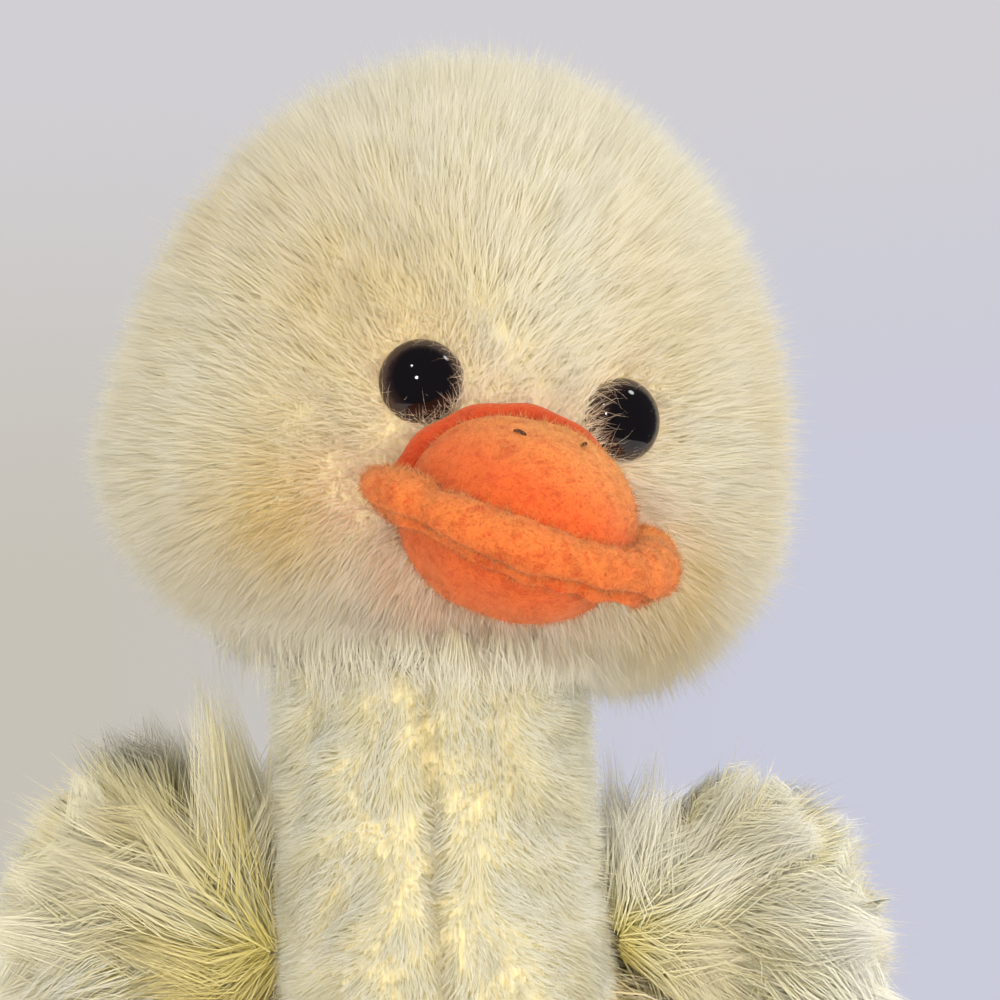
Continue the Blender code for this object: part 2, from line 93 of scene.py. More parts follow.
def curveThrough(table, at):
    # A smooth curve through the rows of a table: cubic pieces, each slope taken from the neighbours
    table = np.asarray(table, float)
    places, values = table[:, 0], table[:, 1:]
    slope = np.gradient(values, places, axis=0)
    at = np.clip(at, places[0], places[-1])
    i = np.clip(np.searchsorted(places, at, side="right") - 1, 0, len(places) - 2)
    span = (places[i + 1] - places[i])[..., None]
    t = (at - places[i])[..., None] / span
    start = values[i] * (1 + 2 * t) * (1 - t) ** 2 + slope[i] * span * t * (1 - t) ** 2
    return start + values[i + 1] * t**2 * (3 - 2 * t) + slope[i + 1] * span * t**2 * (t - 1)


def scatter(shape, count, seed, weight=None):
    # Even spots on a surface of two parameters: of many tries, each is drawn by the area it stands for
    rng = np.random.default_rng(seed)
    tries = 5 * count
    u, v = rng.random(tries), rng.uniform(0.003, 0.996, tries)
    step = 0.0005
    spot = shape(u, v)
    facing = np.cross(shape(u + step, v) - spot, shape(u, v + step) - spot)
    area = np.linalg.norm(facing, axis=1)
    facing = facing / np.maximum(area, 1e-15)[:, None]
    if ((spot - spot.mean(0)) * facing).sum() < 0:
        facing = -facing
    chance = area if weight is None else area * weight(spot, facing)
    ticket = np.log(rng.random(tries)) / np.maximum(chance / chance.max(), 1e-9)
    chosen = np.argpartition(-ticket, count)[:count]
    return spot[chosen], facing[chosen]


# Meshes


def addPiece(name, points, loops, totals, body, material, replaced=()):
    # A mesh from corners, one flat list of face corners and each face's number of corners
    mesh = bpy.data.meshes.new(name)
    mesh.vertices.add(len(points))
    mesh.vertices.foreach_set("co", np.asarray(points, np.float32).ravel())
    mesh.loops.add(len(loops))
    mesh.loops.foreach_set("vertex_index", np.asarray(loops, np.int32))
    mesh.polygons.add(len(totals))
    starts = np.concatenate([[0], np.cumsum(totals)[:-1]])
    mesh.polygons.foreach_set("loop_start", np.asarray(starts, np.int32))
    mesh.polygons.foreach_set("loop_total", np.asarray(totals, np.int32))
    mesh.update(calc_edges=True)
    mesh.shade_smooth()
    mesh.materials.append(material)
    piece = bpy.data.objects.new(name, mesh)
    bpy.context.collection.objects.link(piece)
    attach(piece, body)
    if replaced:
        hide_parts(*replaced)
    return piece


def setAttribute(piece, name, values):
    attribute = piece.data.attributes.new(name, "FLOAT", "POINT")
    attribute.data.foreach_set("value", np.asarray(values, np.float32))


def addSurface(name, shape, rounds, rises, body, material, replaced=(), marks=None):
    # Corners at even steps of two parameters: the first runs round and closes, the second ends in two poles
    around, rise = np.meshgrid(np.arange(rounds) / rounds, np.linspace(0, 1, rises + 1)[1:-1])
    poles = shape(np.zeros(2), np.array((0.0, 1.0)))
    points = np.vstack([poles[:1], shape(around, rise).reshape(-1, 3), poles[1:]])
    row = 1 + np.arange(rises - 2)[:, None] * rounds
    here, there = row + np.arange(rounds), row + (np.arange(rounds) + 1) % rounds
    quads = np.stack([here, there, there + rounds, here + rounds], -1).reshape(-1, 4)
    low, high = np.arange(rounds) + 1, np.arange(rounds) + 1 + (rises - 2) * rounds
    lowNext, highNext = np.roll(low, -1), np.roll(high, -1)
    low = np.stack([np.zeros_like(low), lowNext, low], 1)
    high = np.stack([np.full_like(high, len(points) - 1), high, highNext], 1)
    solid = points[quads[:, 0]] * np.cross(points[quads[:, 1]], points[quads[:, 2]])
    if solid.sum() < 0:
        quads, low, high = quads[:, ::-1], low[:, ::-1], high[:, ::-1]
    loops = np.concatenate([quads.ravel(), low.ravel(), high.ravel()])
    totals = np.concatenate([np.full(len(quads), 4), np.full(2 * rounds, 3)])
    piece = addPiece(name, points, loops, totals, body, material, replaced)
    for mark, values in (marks or {}).items():
        setAttribute(piece, mark, values(points))
    return piece


def addStrands(name, paths, width, facing, body, material, marks, ownShape=0.1):
    # Fibres: three corners round each step of each path, drawn in to a point at its last step. The section
    # is a low triangle whose long flat side faces out of the coat
    count, steps, _ = paths.shape
    along = unit(paths[:, -1] - paths[:, 0])
    side = unit(np.cross(along, facing) + 1e-6)
    other = np.cross(along, side)
    turns = np.radians((210.0, 330.0, 90.0))
    ring = np.cos(turns)[:, None] * side[:, None] + 0.6 * np.sin(turns)[:, None] * other[:, None]
    reach = np.linspace(0, 1, steps)[:-1]
    girth = (width[:, None] * (1 - reach**2.0))[:, :, None, None] / 2
    corners = paths[:, :-1, None] + girth * ring[:, None]
    points = np.concatenate([corners.reshape(count, -1, 3), paths[:, -1:]], 1)
    points[..., 2] = np.maximum(points[..., 2], 0.0003)  # none goes under the floor
    each = points.shape[1]
    loops, totals = [2, 1, 0], [3]
    for step in range(steps - 2):
        for i in range(3):
            j = (i + 1) % 3
            loops += [3 * step + i, 3 * step + j, 3 * step + 3 + j, 3 * step + 3 + i]
            totals.append(4)
    for i in range(3):
        loops += [3 * (steps - 2) + i, 3 * (steps - 2) + (i + 1) % 3, each - 1]
        totals.append(3)
    allLoops = (np.arange(count)[:, None] * each + np.array(loops)).ravel()
    piece = addPiece(
        name, points.reshape(-1, 3), allLoops, np.tile(totals, count), body, material
    )
    normals = np.repeat(facing[:, None], each, 1)
    ringNormals = np.broadcast_to(ring[:, None], (count, steps - 1, 3, 3)).reshape(count, -1, 3)
    normals[:, :-1] = normals[:, :-1] + ownShape * ringNormals
    piece.data.normals_split_custom_set_from_vertices(unit(normals).reshape(-1, 3))
    setAttribute(piece, "along", np.tile(np.append(np.repeat(reach, 3), 1.0), count))
    for mark, values in marks.items():
        setAttribute(piece, mark, np.repeat(values, each))
    return piece


def goldOnly(gold):
    # The values of a coat that is golden in places and nowhere blushing
    return {"blush": np.zeros(len(gold)), "gold": gold}


def coat(name, spots, facing, flow, sizes, seed, body, material, lengthShare=1.0, marks=None):
    # Each fibre leaves its spot between the normal and the flow, bends further into the flow, sags,
    # and its tip is drawn uphill on a field of lumps, so that neighbours close up into tufts
    rng = np.random.default_rng(seed)
    count = len(spots)
    wide = waveSet(seed + 1, sizes["lump"])
    tuft = waveSet(seed + 2, sizes["tuft"])
    lie = np.radians(sizes["lie"] + 8 * rng.normal(size=count) + 9 * lumps(spots, wide))
    lie = np.clip(lie, 0.1, 1.4)[:, None]
    flow = unit(across(flow, facing))
    stray = rng.normal(size=(count, 3)) * sizes["frizz"]
    start = unit(facing * np.cos(0.6 * lie) + flow * np.sin(0.6 * lie) + stray)
    end = unit(facing * np.cos(1.3 * lie) + flow * np.sin(1.3 * lie) + 1.6 * stray)
    end = unit(end + np.array((0, 0, -sizes["droop"])))
    length = 1 + sizes["spread"] * rng.normal(size=count) + sizes["lumpShare"] * lumps(spots, wide)
    length = sizes["length"] * lengthShare * np.clip(length, 0.45, 1.7)
    uphill = across(slopes(spots, tuft), facing)
    pull = uphill * np.minimum(sizes["pull"], 0.45 * length)[:, None]
    reach = np.linspace(0, 1, sizes["steps"])[None, :, None]
    bent = reach * start[:, None] + reach**2 / 2 * (end - start)[:, None]
    paths = spots[:, None] + length[:, None, None] * bent + reach**2 * pull[:, None]
    shade = unit(facing + 0.25 * flow - sizes["relief"] * uphill)
    # Painted shade: fibres in the hollows between tufts are darker, those on the crests lighter, with a
    # little random tone
    tuftShade = 0.5 + 0.22 * lumps(spots, tuft) + 0.06 * rng.normal(size=count)
    width = sizes["width"] * rng.uniform(0.7, 1.25, count)
    allMarks = {"shadeAndTone": np.clip(tuftShade, 0, 1), **(marks or {})}
    return addStrands(name, paths, width, shade, body, material, allMarks)


def lockCoat(name, roots, facing, heading, sizes, seed, body, material, lengths=None, golden=0.0):
    # Each lock is a bundle round one bent guide: it swings out from the surface into its heading, curls
    # once from side to side, and its fibres draw together towards the tip
    rng = np.random.default_rng(seed)
    locks, each = len(roots), sizes["strands"]
    count = locks * each
    length = np.full(locks, sizes["length"]) if lengths is None else lengths
    length = length * np.clip(1 + sizes["spread"] * rng.normal(size=locks), 0.6, 1.35)
    start = unit(sizes["leave"] * facing + 0.75 * heading + 0.15 * rng.normal(size=(locks, 3)))
    sag = np.array((0, 0, -sizes["droop"]))
    end = unit(heading + 0.10 * facing + 0.20 * rng.normal(size=(locks, 3)) + sag)
    sideways = unit(np.cross(start, facing) + 0.2 * rng.normal(size=(locks, 3)))
    other = unit(np.cross(start, sideways))
    pick = np.repeat(np.arange(locks), each)
    turn, out = rng.uniform(0, fullTurn, count), np.sqrt(rng.random(count))
    disc = out[:, None] * (np.cos(turn)[:, None] * sideways[pick] + np.sin(turn)[:, None] * other[pick])
    own = length[pick] * rng.uniform(0.74, 1.06, count)
    reach = np.linspace(0, 1, sizes["steps"])[None, :, None]
    guide = reach * start[pick][:, None] + reach**2 / 2 * (end - start)[pick][:, None]
    waves, begin = rng.uniform(3.0, 5.0, locks), rng.uniform(0, fullTurn, locks)
    swing = np.sin(reach * waves[pick][:, None, None] + begin[pick][:, None, None])
    swing = swing * reach * sizes["curl"]
    girth = sizes["girth"] * rng.uniform(0.75, 1.25, locks)[pick][:, None, None]
    girth = girth * (1 + 0.5 * np.sin(reach * math.pi) - sizes["close"] * reach**1.5)
    paths = roots[pick][:, None] + own[:, None, None] * guide + swing * sideways[pick][:, None]
    paths = paths + girth * disc[:, None] + reach**2 * sizes["frizz"] * rng.normal(size=(count, 1, 3))
    shade = unit(sizes["relief"] * disc + facing[pick])
    # Painted shade: fibres on a lock's outer side are lighter, those on its inner side darker; each lock
    # also has a random tone
    shadeAndTone = 0.62 + 0.6 * sizes["relief"] * (disc * facing[pick]).sum(1)
    shadeAndTone = shadeAndTone + 0.14 * rng.normal(size=locks)[pick]
    gold = np.clip(sizes["gold"] * (1 + 0.8 * rng.normal(size=locks)) + golden, 0, 0.9)[pick]
    width = sizes["width"] * rng.uniform(0.7, 1.25, count)
    marks = {"shadeAndTone": np.clip(shadeAndTone, 0, 1), **goldOnly(gold)}
    return addStrands(name, paths, width, shade, body, material, marks, sizes["ownShape"])


# Materials


def newMaterial(name, roughness, specular=0.5):
    material = bpy.data.materials.new(name)
    material.use_nodes = True
    shader = material.node_tree.nodes["Principled BSDF"]
    shader.inputs["Roughness"].default_value = roughness
    shader.inputs["Specular IOR Level"].default_value = specular
    return material, material.node_tree, shader


def newGroup(name, inputs, outputs):
    group = bpy.data.node_groups.new(name, "ShaderNodeTree")
    for label, kind, value in inputs:
        socket = group.interface.new_socket(name=label, in_out="INPUT", socket_type="NodeSocket" + kind)
        socket.default_value = value
    for label, kind in outputs:
        group.interface.new_socket(name=label, in_out="OUTPUT", socket_type="NodeSocket" + kind)
    ends = group.nodes.new("NodeGroupInput"), group.nodes.new("NodeGroupOutput")
    return group, ends[0].outputs, ends[1].inputs


def place(tree, group, **values):
    node = tree.nodes.new("ShaderNodeGroup")
    node.node_tree = group
    for label, value in values.items():
        node.inputs[label].default_value = value
    return node.outputs


def colour(red, green, blue):
    # A screen colour in parts of 255, as the shaders want it
    parts = np.array((red, green, blue)) / 255
    linear = np.where(parts > 0.04045, ((parts + 0.055) / 1.055) ** 2.4, parts / 12.92)
    return (*linear.tolist(), 1.0)


def mixed(tree, factor, first, second, blend="MIX"):
    node = tree.nodes.new("ShaderNodeMix")
    node.data_type = "RGBA"
    node.blend_type = blend
    node.clamp_factor = True
    for socket, value in (("Factor_Float", factor), ("A_Color", first), ("B_Color", second)):
        entry = next(s for s in node.inputs if s.identifier == socket)
        if isinstance(value, bpy.types.NodeSocket):
            tree.links.new(value, entry)
        else:
            entry.default_value = value
    return next(s for s in node.outputs if s.identifier == "Result_Color")


def worked(tree, operation, *values):
    node = tree.nodes.new("ShaderNodeMath")
    node.operation = operation
    for entry, value in zip(node.inputs, values):
        if isinstance(value, bpy.types.NodeSocket):
            tree.links.new(value, entry)
        else:
            entry.default_value = value
    return node.outputs[0]


def noise(tree, scale, detail=2.0, roughness=0.5, vector=None):
    node = tree.nodes.new("ShaderNodeTexNoise")
    node.inputs["Scale"].default_value = scale
    node.inputs["Detail"].default_value = detail
    node.inputs["Roughness"].default_value = roughness
    if vector is None:
        vector = tree.nodes.new("ShaderNodeTexCoord").outputs["Object"]
    tree.links.new(vector, node.inputs["Vector"])
    return node.outputs["Fac"]


def ramp(tree, value, low, high):
    # 0 below low, 1 above high, smooth between
    node = tree.nodes.new("ShaderNodeMapRange")
    node.interpolation_type = "SMOOTHSTEP"
    node.inputs["From Min"].default_value = low
    node.inputs["From Max"].default_value = high
    tree.links.new(value, node.inputs["Value"])
    return node.outputs["Result"]


def mark(tree, name):
    node = tree.nodes.new("ShaderNodeAttribute")
    node.attribute_name = name
    return node.outputs["Fac"]


black = (0, 0, 0, 1)
clothOutputs = (("Colour", "Color"), ("Normal", "Vector"))


def withRelief(group, given, out, shown, height, strength):
    # A cloth group's last step: its colour, and its relief as a bump
    bump = group.nodes.new("ShaderNodeBump")
    bump.inputs["Strength"].default_value = strength
    group.links.new(given["Height"], bump.inputs["Distance"])
    group.links.new(height, bump.inputs["Height"])
    group.links.new(shown, out["Colour"])
    group.links.new(bump.outputs["Normal"], out["Normal"])
    return group


def makeFurTone():
    # Deeper at the root, pale at the tip; painted shade nearer the root's tone where a fibre's shade value
    # is low, between tufts and on a lock's shaded side; golden and blushing where the coat's own values say
    # so
    inputs = [(label, "Color", black) for label in ("Root", "Middle", "Tip", "Gold", "Blush")]
    group, given, out = newGroup("furColourAndShade", inputs, (("Colour", "Color"),))
    along, shadeAndTone = mark(group, "along"), mark(group, "shadeAndTone")
    lower = mixed(group, ramp(group, along, 0.0, 0.5), given["Root"], given["Middle"])
    upper = mixed(group, ramp(group, along, 0.35, 1.0), lower, given["Tip"])
    # Painted shade: a low shade value, between tufts or on a lock's shaded side, darkens towards the root's
    # tone
    paintedShade = worked(group, "MULTIPLY", ramp(group, shadeAndTone, 0.6, 0.0), 0.45)
    withPaintedShade = mixed(group, paintedShade, upper, given["Root"])
    golden = mixed(group, mark(group, "gold"), withPaintedShade, given["Gold"])
    blushed = mixed(group, mark(group, "blush"), golden, given["Blush"])
    group.links.new(blushed, out["Colour"])
    return group


def makeFelt():
    # Felted fleece: a fine two-way speckle of tone, the same grain as a bump, and a painted highlight:
    # paler where the piece's own values say that the light falls on it
    inputs = [(label, "Color", black) for label in ("Light", "Deep", "Pale")]
    inputs += [("Grain", "Float", 2500.0), ("Height", "Float", 0.0002)]
    group, given, out = newGroup("felt", inputs, clothOutputs)
    coordinates = group.nodes.new("ShaderNodeTexCoord").outputs["Object"]
    fine = group.nodes.new("ShaderNodeTexNoise")
    fine.inputs["Detail"].default_value = 4.0
    fine.inputs["Roughness"].default_value = 0.7
    group.links.new(coordinates, fine.inputs["Vector"])
    group.links.new(given["Grain"], fine.inputs["Scale"])
    broad = noise(group, 380.0, 4.0, 0.65, coordinates)
    speckle = worked(group, "MULTIPLY", ramp(group, fine.outputs["Fac"], 0.52, 0.66), 0.75)
    cloud = worked(group, "MULTIPLY", ramp(group, broad, 0.46, 0.72), 0.6)
    # Painted highlight: towards the Pale colour where the light falls
    lit = mixed(group, mark(group, "paintedHighlight"), given["Light"], given["Pale"])
    toned = mixed(group, cloud, lit, given["Deep"])
    speckled = mixed(group, speckle, toned, given["Deep"])
    return withRelief(group, given, out, speckled, fine.outputs["Fac"], 0.8)


def makeWeave():
    # Plain cloth: two crossed sets of rounded threads, over and under, with painted shade where they lie
    # lower
    inputs = [(label, "Color", black) for label in ("Light", "Deep")]
    inputs += [("Threads", "Float", 3000.0), ("Height", "Float", 0.0002)]
    group, given, out = newGroup("weave", inputs, clothOutputs)
    coordinates = group.nodes.new("ShaderNodeTexCoord").outputs["Object"]
    apart = group.nodes.new("ShaderNodeSeparateXYZ")
    group.links.new(coordinates, apart.inputs[0])
    warp = worked(group, "SINE", worked(group, "MULTIPLY", apart.outputs["X"], given["Threads"]))
    weft = worked(group, "SINE", worked(group, "MULTIPLY", apart.outputs["Y"], given["Threads"]))
    crossed = worked(group, "MULTIPLY", worked(group, "MULTIPLY", warp, weft), 0.5)
    crossed = worked(group, "ADD", crossed, 0.5)
    fuzz = noise(group, 900.0, 3.0, 0.6, coordinates)
    height = worked(group, "ADD", crossed, worked(group, "MULTIPLY", fuzz, 0.6))
    # Painted shade: darker in the hollows between the threads
    toned = mixed(group, ramp(group, height, 0.3, 1.2), given["Deep"], given["Light"])
    return withRelief(group, given, out, toned, height, 0.7)


furColourAndShade, felt, weave = makeFurTone(), makeFelt(), makeWeave()

furColours = {
    "plush": {
        "Root": colour(242, 226, 170),
        "Middle": colour(246, 234, 192),
        "Tip": colour(249, 242, 216),
        "Gold": colour(238, 198, 96),
        "Blush": colour(246, 194, 148),
    },
    "neckPile": {
        "Root": colour(238, 224, 160),
        "Middle": colour(245, 238, 198),
        "Tip": colour(249, 246, 224),
        "Gold": colour(237, 214, 136),
        "Blush": colour(246, 200, 162),
    },
    "shag": {
        "Root": colour(234, 218, 128),
        "Middle": colour(247, 243, 206),
        "Tip": colour(250, 249, 240),
        "Gold": colour(232, 208, 98),
        "Blush": colour(196, 158, 64),
    },
}


def furMaterial(name):
    material, tree, shader = newMaterial(name, 0.8, 0.2)
    shader.inputs["Subsurface Weight"].default_value = 0.5
    shader.inputs["Subsurface Radius"].default_value = (1.0, 0.9, 0.75)
    shader.inputs["Subsurface Scale"].default_value = 0.002
    shadeAndTone = place(tree, furColourAndShade, **furColours[name])
    tree.links.new(shadeAndTone["Colour"], shader.inputs["Base Color"])
    return material


def clothed(material, tree, shader, group, values):
    cloth = place(tree, group, **values)
    tree.links.new(cloth["Colour"], shader.inputs["Base Color"])
    tree.links.new(cloth["Normal"], shader.inputs["Normal"])
    return material


def feltMaterial(name, light, deep, grain, height, pale=None):
    material, tree, shader = newMaterial(name, 0.9, 0.2)
    shader.inputs["Sheen Weight"].default_value = 0.35
    shader.inputs["Sheen Roughness"].default_value = 0.45
    shader.inputs["Sheen Tint"].default_value = colour(255, 200, 150)
    values = {"Light": light, "Deep": deep, "Pale": pale or light, "Grain": grain, "Height": height}
    return clothed(material, tree, shader, felt, values)


def clothMaterial(name, light, deep, threads, height):
    material, tree, shader = newMaterial(name, 0.85, 0.3)
    values = {"Light": light, "Deep": deep, "Threads": threads, "Height": height}
    return clothed(material, tree, shader, weave, values)


def eyeMaterial():
    # Near black and polished, a warm brown band round the rim
    material, tree, shader = newMaterial("eyeGloss", 0.05, 0.4)
    swirl = noise(tree, 900.0, 3.0)
    band = mixed(tree, swirl, colour(56, 38, 32), colour(36, 24, 22))
    toned = mixed(tree, mark(tree, "rim"), colour(9, 7, 9), band)
    tree.links.new(toned, shader.inputs["Base Color"])
    return material


def plasticMaterial():
    material, tree, shader = newMaterial("washerPlastic", 0.35, 0.5)
    haze = mixed(tree, noise(tree, 700.0, 3.0), colour(236, 234, 228), colour(218, 216, 208))
    tree.links.new(haze, shader.inputs["Base Color"])
    return material


plush, neckPile, shag = furMaterial("plush"), furMaterial("neckPile"), furMaterial("shag")
backing = clothMaterial("backing", colour(240, 228, 184), colour(234, 216, 160), 5200.0, 0.0002)
# The Pale colours of the fleece are painted highlight, where the light falls on the bill
fleece = feltMaterial(
    "fleece", colour(200, 88, 36), colour(176, 50, 20), 1700.0, 0.0005, colour(206, 136, 68)
)
# A darker copy of the fleece: painted shade for the recess where the bill is sewn into the face
fleeceInShade = feltMaterial("fleeceInShade", colour(178, 64, 28), colour(150, 40, 18), 1700.0, 0.0005)
fleeceFuzz = feltMaterial(
    "fleeceFuzz", colour(204, 98, 44), colour(174, 52, 22), 1500.0, 0.0, colour(212, 148, 82)
)
seatCloth = clothMaterial("seatCloth", colour(232, 216, 164), colour(206, 184, 122), 4200.0, 0.0003)
bagCloth = clothMaterial("bagCloth", colour(226, 224, 216), colour(196, 192, 182), 3600.0, 0.0003)
wadding = feltMaterial("wadding", colour(240, 240, 238), colour(214, 212, 206), 500.0, 0.002)
brownThread = clothMaterial("brownThread", colour(92, 52, 34), colour(56, 30, 22), 9000.0, 0.0002)
eyeGloss, washerPlastic = eyeMaterial(), plasticMaterial()
print("materials ready")


# Camera, floor and light

camera = {
    "target": (0.0, 0.0, 0.250),
    "slide": (0.0161, -0.0096),  # the target lies left of and above the middle of the view
    "distance": 0.50,
    "rise": 4.0,
    "roll": -3.2,
    "lens": 94.1,
}
stage = {
    "floorRadius": 0.46,
    "floor": colour(222, 221, 226),
    "lowLeft": colour(199, 194, 184),
    "lowRight": colour(202, 203, 219),
    "high": colour(209, 207, 211),
    "fill": (1.18, 1.15, 1.06, 1.0),  # what the room gives as light, and what it gives as shine
    "shine": colour(92, 92, 98),
}
lamps = (
    # name, place, size, power, colour
    ("keyLight", (0.55, -1.05, 1.00), 2.00, 9.8, colour(255, 250, 242)),
    ("lowLight", (-0.40, -1.30, -0.05), 1.60, 12.0, colour(255, 250, 244)),
    ("sideLight", (1.10, -0.90, 0.00), 1.40, 7.0, colour(250, 251, 255)),
    ("upperGlint", (-0.25, -0.85, 1.08), 0.050, 0.8, colour(255, 255, 255)),
    ("nearGlint", (-0.08, -0.90, 0.60), 0.080, 0.9, colour(255, 255, 255)),
    ("sideGlint", (0.83, -0.06, 1.11), 0.200, 1.4, colour(255, 255, 255)),
)


def addCamera():
    rise, roll = math.radians(camera["rise"]), math.radians(camera["roll"])
    back = Vector((0, -math.cos(rise), math.sin(rise)))
    level, upright = Vector((1, 0, 0)), Vector((0, math.sin(rise), math.cos(rise)))
    right = math.cos(roll) * level + math.sin(roll) * upright
    above = -math.sin(roll) * level + math.cos(roll) * upright
    data = bpy.data.cameras.new("camera")
    data.lens = camera["lens"]
    data.sensor_width = 36.0
    data.clip_start = 0.02
    eye = bpy.data.objects.new("camera", data)
    bpy.context.collection.objects.link(eye)
    slide = camera["slide"]
    spot = Vector(camera["target"]) + slide[0] * right + slide[1] * above + camera["distance"] * back
    turn = Matrix((right, above, back)).transposed()
    eye.matrix_world = Matrix.Translation(spot) @ turn.to_4x4()
    bpy.context.scene.camera = eye


def addStage():
    angles = np.arange(96) * fullTurn / 96
    radius = stage["floorRadius"]
    points = np.stack([radius * np.cos(angles), radius * np.sin(angles), np.zeros(96)], 1)
    mesh = bpy.data.meshes.new("floor")
    mesh.from_pydata(points.tolist(), [], [list(range(96))])
    material, tree, shader = newMaterial("floorPaper", 0.9, 0.2)
    paper = mixed(tree, noise(tree, 3.0, 2.0), stage["floor"], colour(222, 222, 229))
    tree.links.new(paper, shader.inputs["Base Color"])
    mesh.materials.append(material)
    floor = bpy.data.objects.new("floor", mesh)
    bpy.context.collection.objects.link(floor)

    world = bpy.data.worlds.new("paleRoom")
    bpy.context.scene.world = world
    world.use_nodes = True
    tree = world.node_tree
    apart = tree.nodes.new("ShaderNodeSeparateXYZ")
    tree.links.new(tree.nodes.new("ShaderNodeTexCoord").outputs["Generated"], apart.inputs[0])
    sideways = ramp(tree, apart.outputs["X"], -0.17, 0.10)
    upwards = ramp(tree, apart.outputs["Z"], -0.10, 0.12)
    low = mixed(tree, sideways, stage["lowLeft"], stage["lowRight"])
    rays = tree.nodes.new("ShaderNodeLightPath").outputs
    seen = mixed(tree, rays["Is Camera Ray"], stage["fill"], mixed(tree, upwards, low, stage["high"]))
    shown = mixed(tree, rays["Is Glossy Ray"], seen, stage["shine"])
    tree.links.new(shown, tree.nodes["Background"].inputs["Color"])

    for name, spot, size, power, tint in lamps:
        data = bpy.data.lights.new(name, "AREA")
        data.shape = "DISK"
        data.size = size
        data.energy = power
        data.color = tint[:3]
        lamp = bpy.data.objects.new(name, data)
        bpy.context.collection.objects.link(lamp)
        lamp.location = spot
        lamp.visible_camera = False
        lamp.visible_glossy = size < 1
        aim = Vector(camera["target"]) - Vector(spot)
        lamp.rotation_euler = aim.to_track_quat("-Z", "Y").to_euler()


bpy.context.scene.view_settings.view_transform = "Standard"
addCamera()
addStage()
print("camera and stage ready")


# The bill's sizes come first, because the head's fur keeps clear of it

bill = {
    "root": 0.0525,
    "level": 0.0048,
    "droop": 6.5,
    "halfWidth": 0.02015,
    "reach": 0.0275,
    "upper": 0.0175,
    "lower": 0.0171,
    "lipHalf": 0.02365,
    "lipReach": 0.0245,
    "lipForward": 0.0015,
    "lipSag": 0.0035,
    "lipTail": 0.006,
    "lipDepth": 0.0052,
    "lipHeight": 0.0044,
    "lipSwell": 0.0007,
    "seamTurn": -0.20,  # where the stitched edge runs round the lip's section, in turns
    "seamRise": 0.0009,
    "lipTip": 0.0018,  # the lip lies lower at its left end, and higher right of its middle
    "lipRaise": 0.0014,
    "lipBend": 0.86,  # the share of the lip's path that is the oval, before its straight ends
    "domePower": 0.92,
}

# The neck's sizes too, because the tufts of the chin hang over its top
neck = {
    "low": 0.126,
    "high": 0.215,
    "base": 0.130,
    "top": 0.213,
    "baseRadius": 0.033,
    "topRadius": 0.0305,
    "pile": 0.0036,
    "wadding": 0.0075,
    "seamDepth": 0.0021,
    "seamWidth": 0.0030,
}

# Head: a furred ball, its crown a half ellipse over full cheeks

head = {
    "middle": np.array((0.0025, 0.0, 0.235)),
    "turned": spin(16.0, "Z") @ spin(14.0, "Y"),
    "halfWidth": 0.066,
    "front": 0.054,
    "back": 0.057,
    "crown": 0.082,
    "jaw": 0.036,
    "cheek": 0.007,
    "jawPower": 0.78,
    "pile": 0.0067,  # from the tips of the fur in to the cloth
    "wadding": 0.0095,
    "eyeSpacing": 0.0404,
    "eyeLevel": 0.0262,
    "eyeClear": 0.0096,  # no fur grows nearer to an eye's middle
}
headCoat = {
    "length": 0.0090,
    "spread": 0.14,
    "lie": 29.0,
    "droop": 0.10,
    "frizz": 0.16,
    "tuft": 0.0100,
    "pull": 0.0022,
    "lump": 0.020,
    "lumpShare": 0.12,
    "relief": 0.15,
    "width": 0.00021,
    "steps": 2,
}
headFly = {**headCoat, "length": 0.0112, "width": 0.00011, "frizz": 0.36, "lie": 24.0}
chinRuff = {
    "locks": 84,
    "strands": 90,
    "steps": 3,
    "length": 0.0125,
    "spread": 0.22,
    "leave": 0.22,
    "girth": 0.0036,
    "width": 0.00023,
    "curl": 0.0016,
    "frizz": 0.0016,
    "droop": 0.2,
    "close": 0.15,
    "relief": 0.20,
    "ownShape": 0.1,
    "gold": 0.02,
    "radius": 0.0322,
    "level": -0.0165,
}


def headShape(around, up, grow=0.0):
    # Ovals stacked from jaw to crown: their size goes with the cosine of the height's angle
    turn, tilt = around * fullTurn, (up - 0.5) * math.pi
    round_ = np.maximum(np.cos(tilt), 0)
    spread = np.where(tilt > 0, round_, round_ ** head["jawPower"])
    height = np.where(tilt > 0, head["crown"] + grow, head["jaw"] + grow) * np.sin(tilt)
    depth = np.where(np.sin(turn) < 0, head["front"] + grow, head["back"] + grow)
    wide = (head["halfWidth"] + grow) * spread * np.cos(turn)
    points = np.stack([wide, depth * spread * np.sin(turn), head["cheek"] + height], -1)
    return fromHead(points)


def headCloth(around, up):
    # The cloth under the pile
    return headShape(around, up, -head["pile"])


def fromHead(points):
    return points @ head["turned"].T + head["middle"]


def inHead(points):
    return (points - head["middle"]) @ head["turned"]


def facePoint(x, z):
    # The face's surface at a place across it and a level, and its normal, in the head's own frame
    rise = (z - head["cheek"]) / head["crown"]
    y = -head["front"] * math.sqrt(1 - rise**2 - (x / head["halfWidth"]) ** 2)
    normal = np.array((x / head["halfWidth"] ** 2, y / head["front"] ** 2, rise / head["crown"]))
    return np.array((x, y, z)), unit(normal)


eyeFrames = {}
for side, sign in sides.items():
    eyeSpot, eyeFacing = facePoint(sign * head["eyeSpacing"] / 2, head["eyeLevel"])
    eyeFrames[side] = fromHead(eyeSpot), eyeFacing @ head["turned"].T


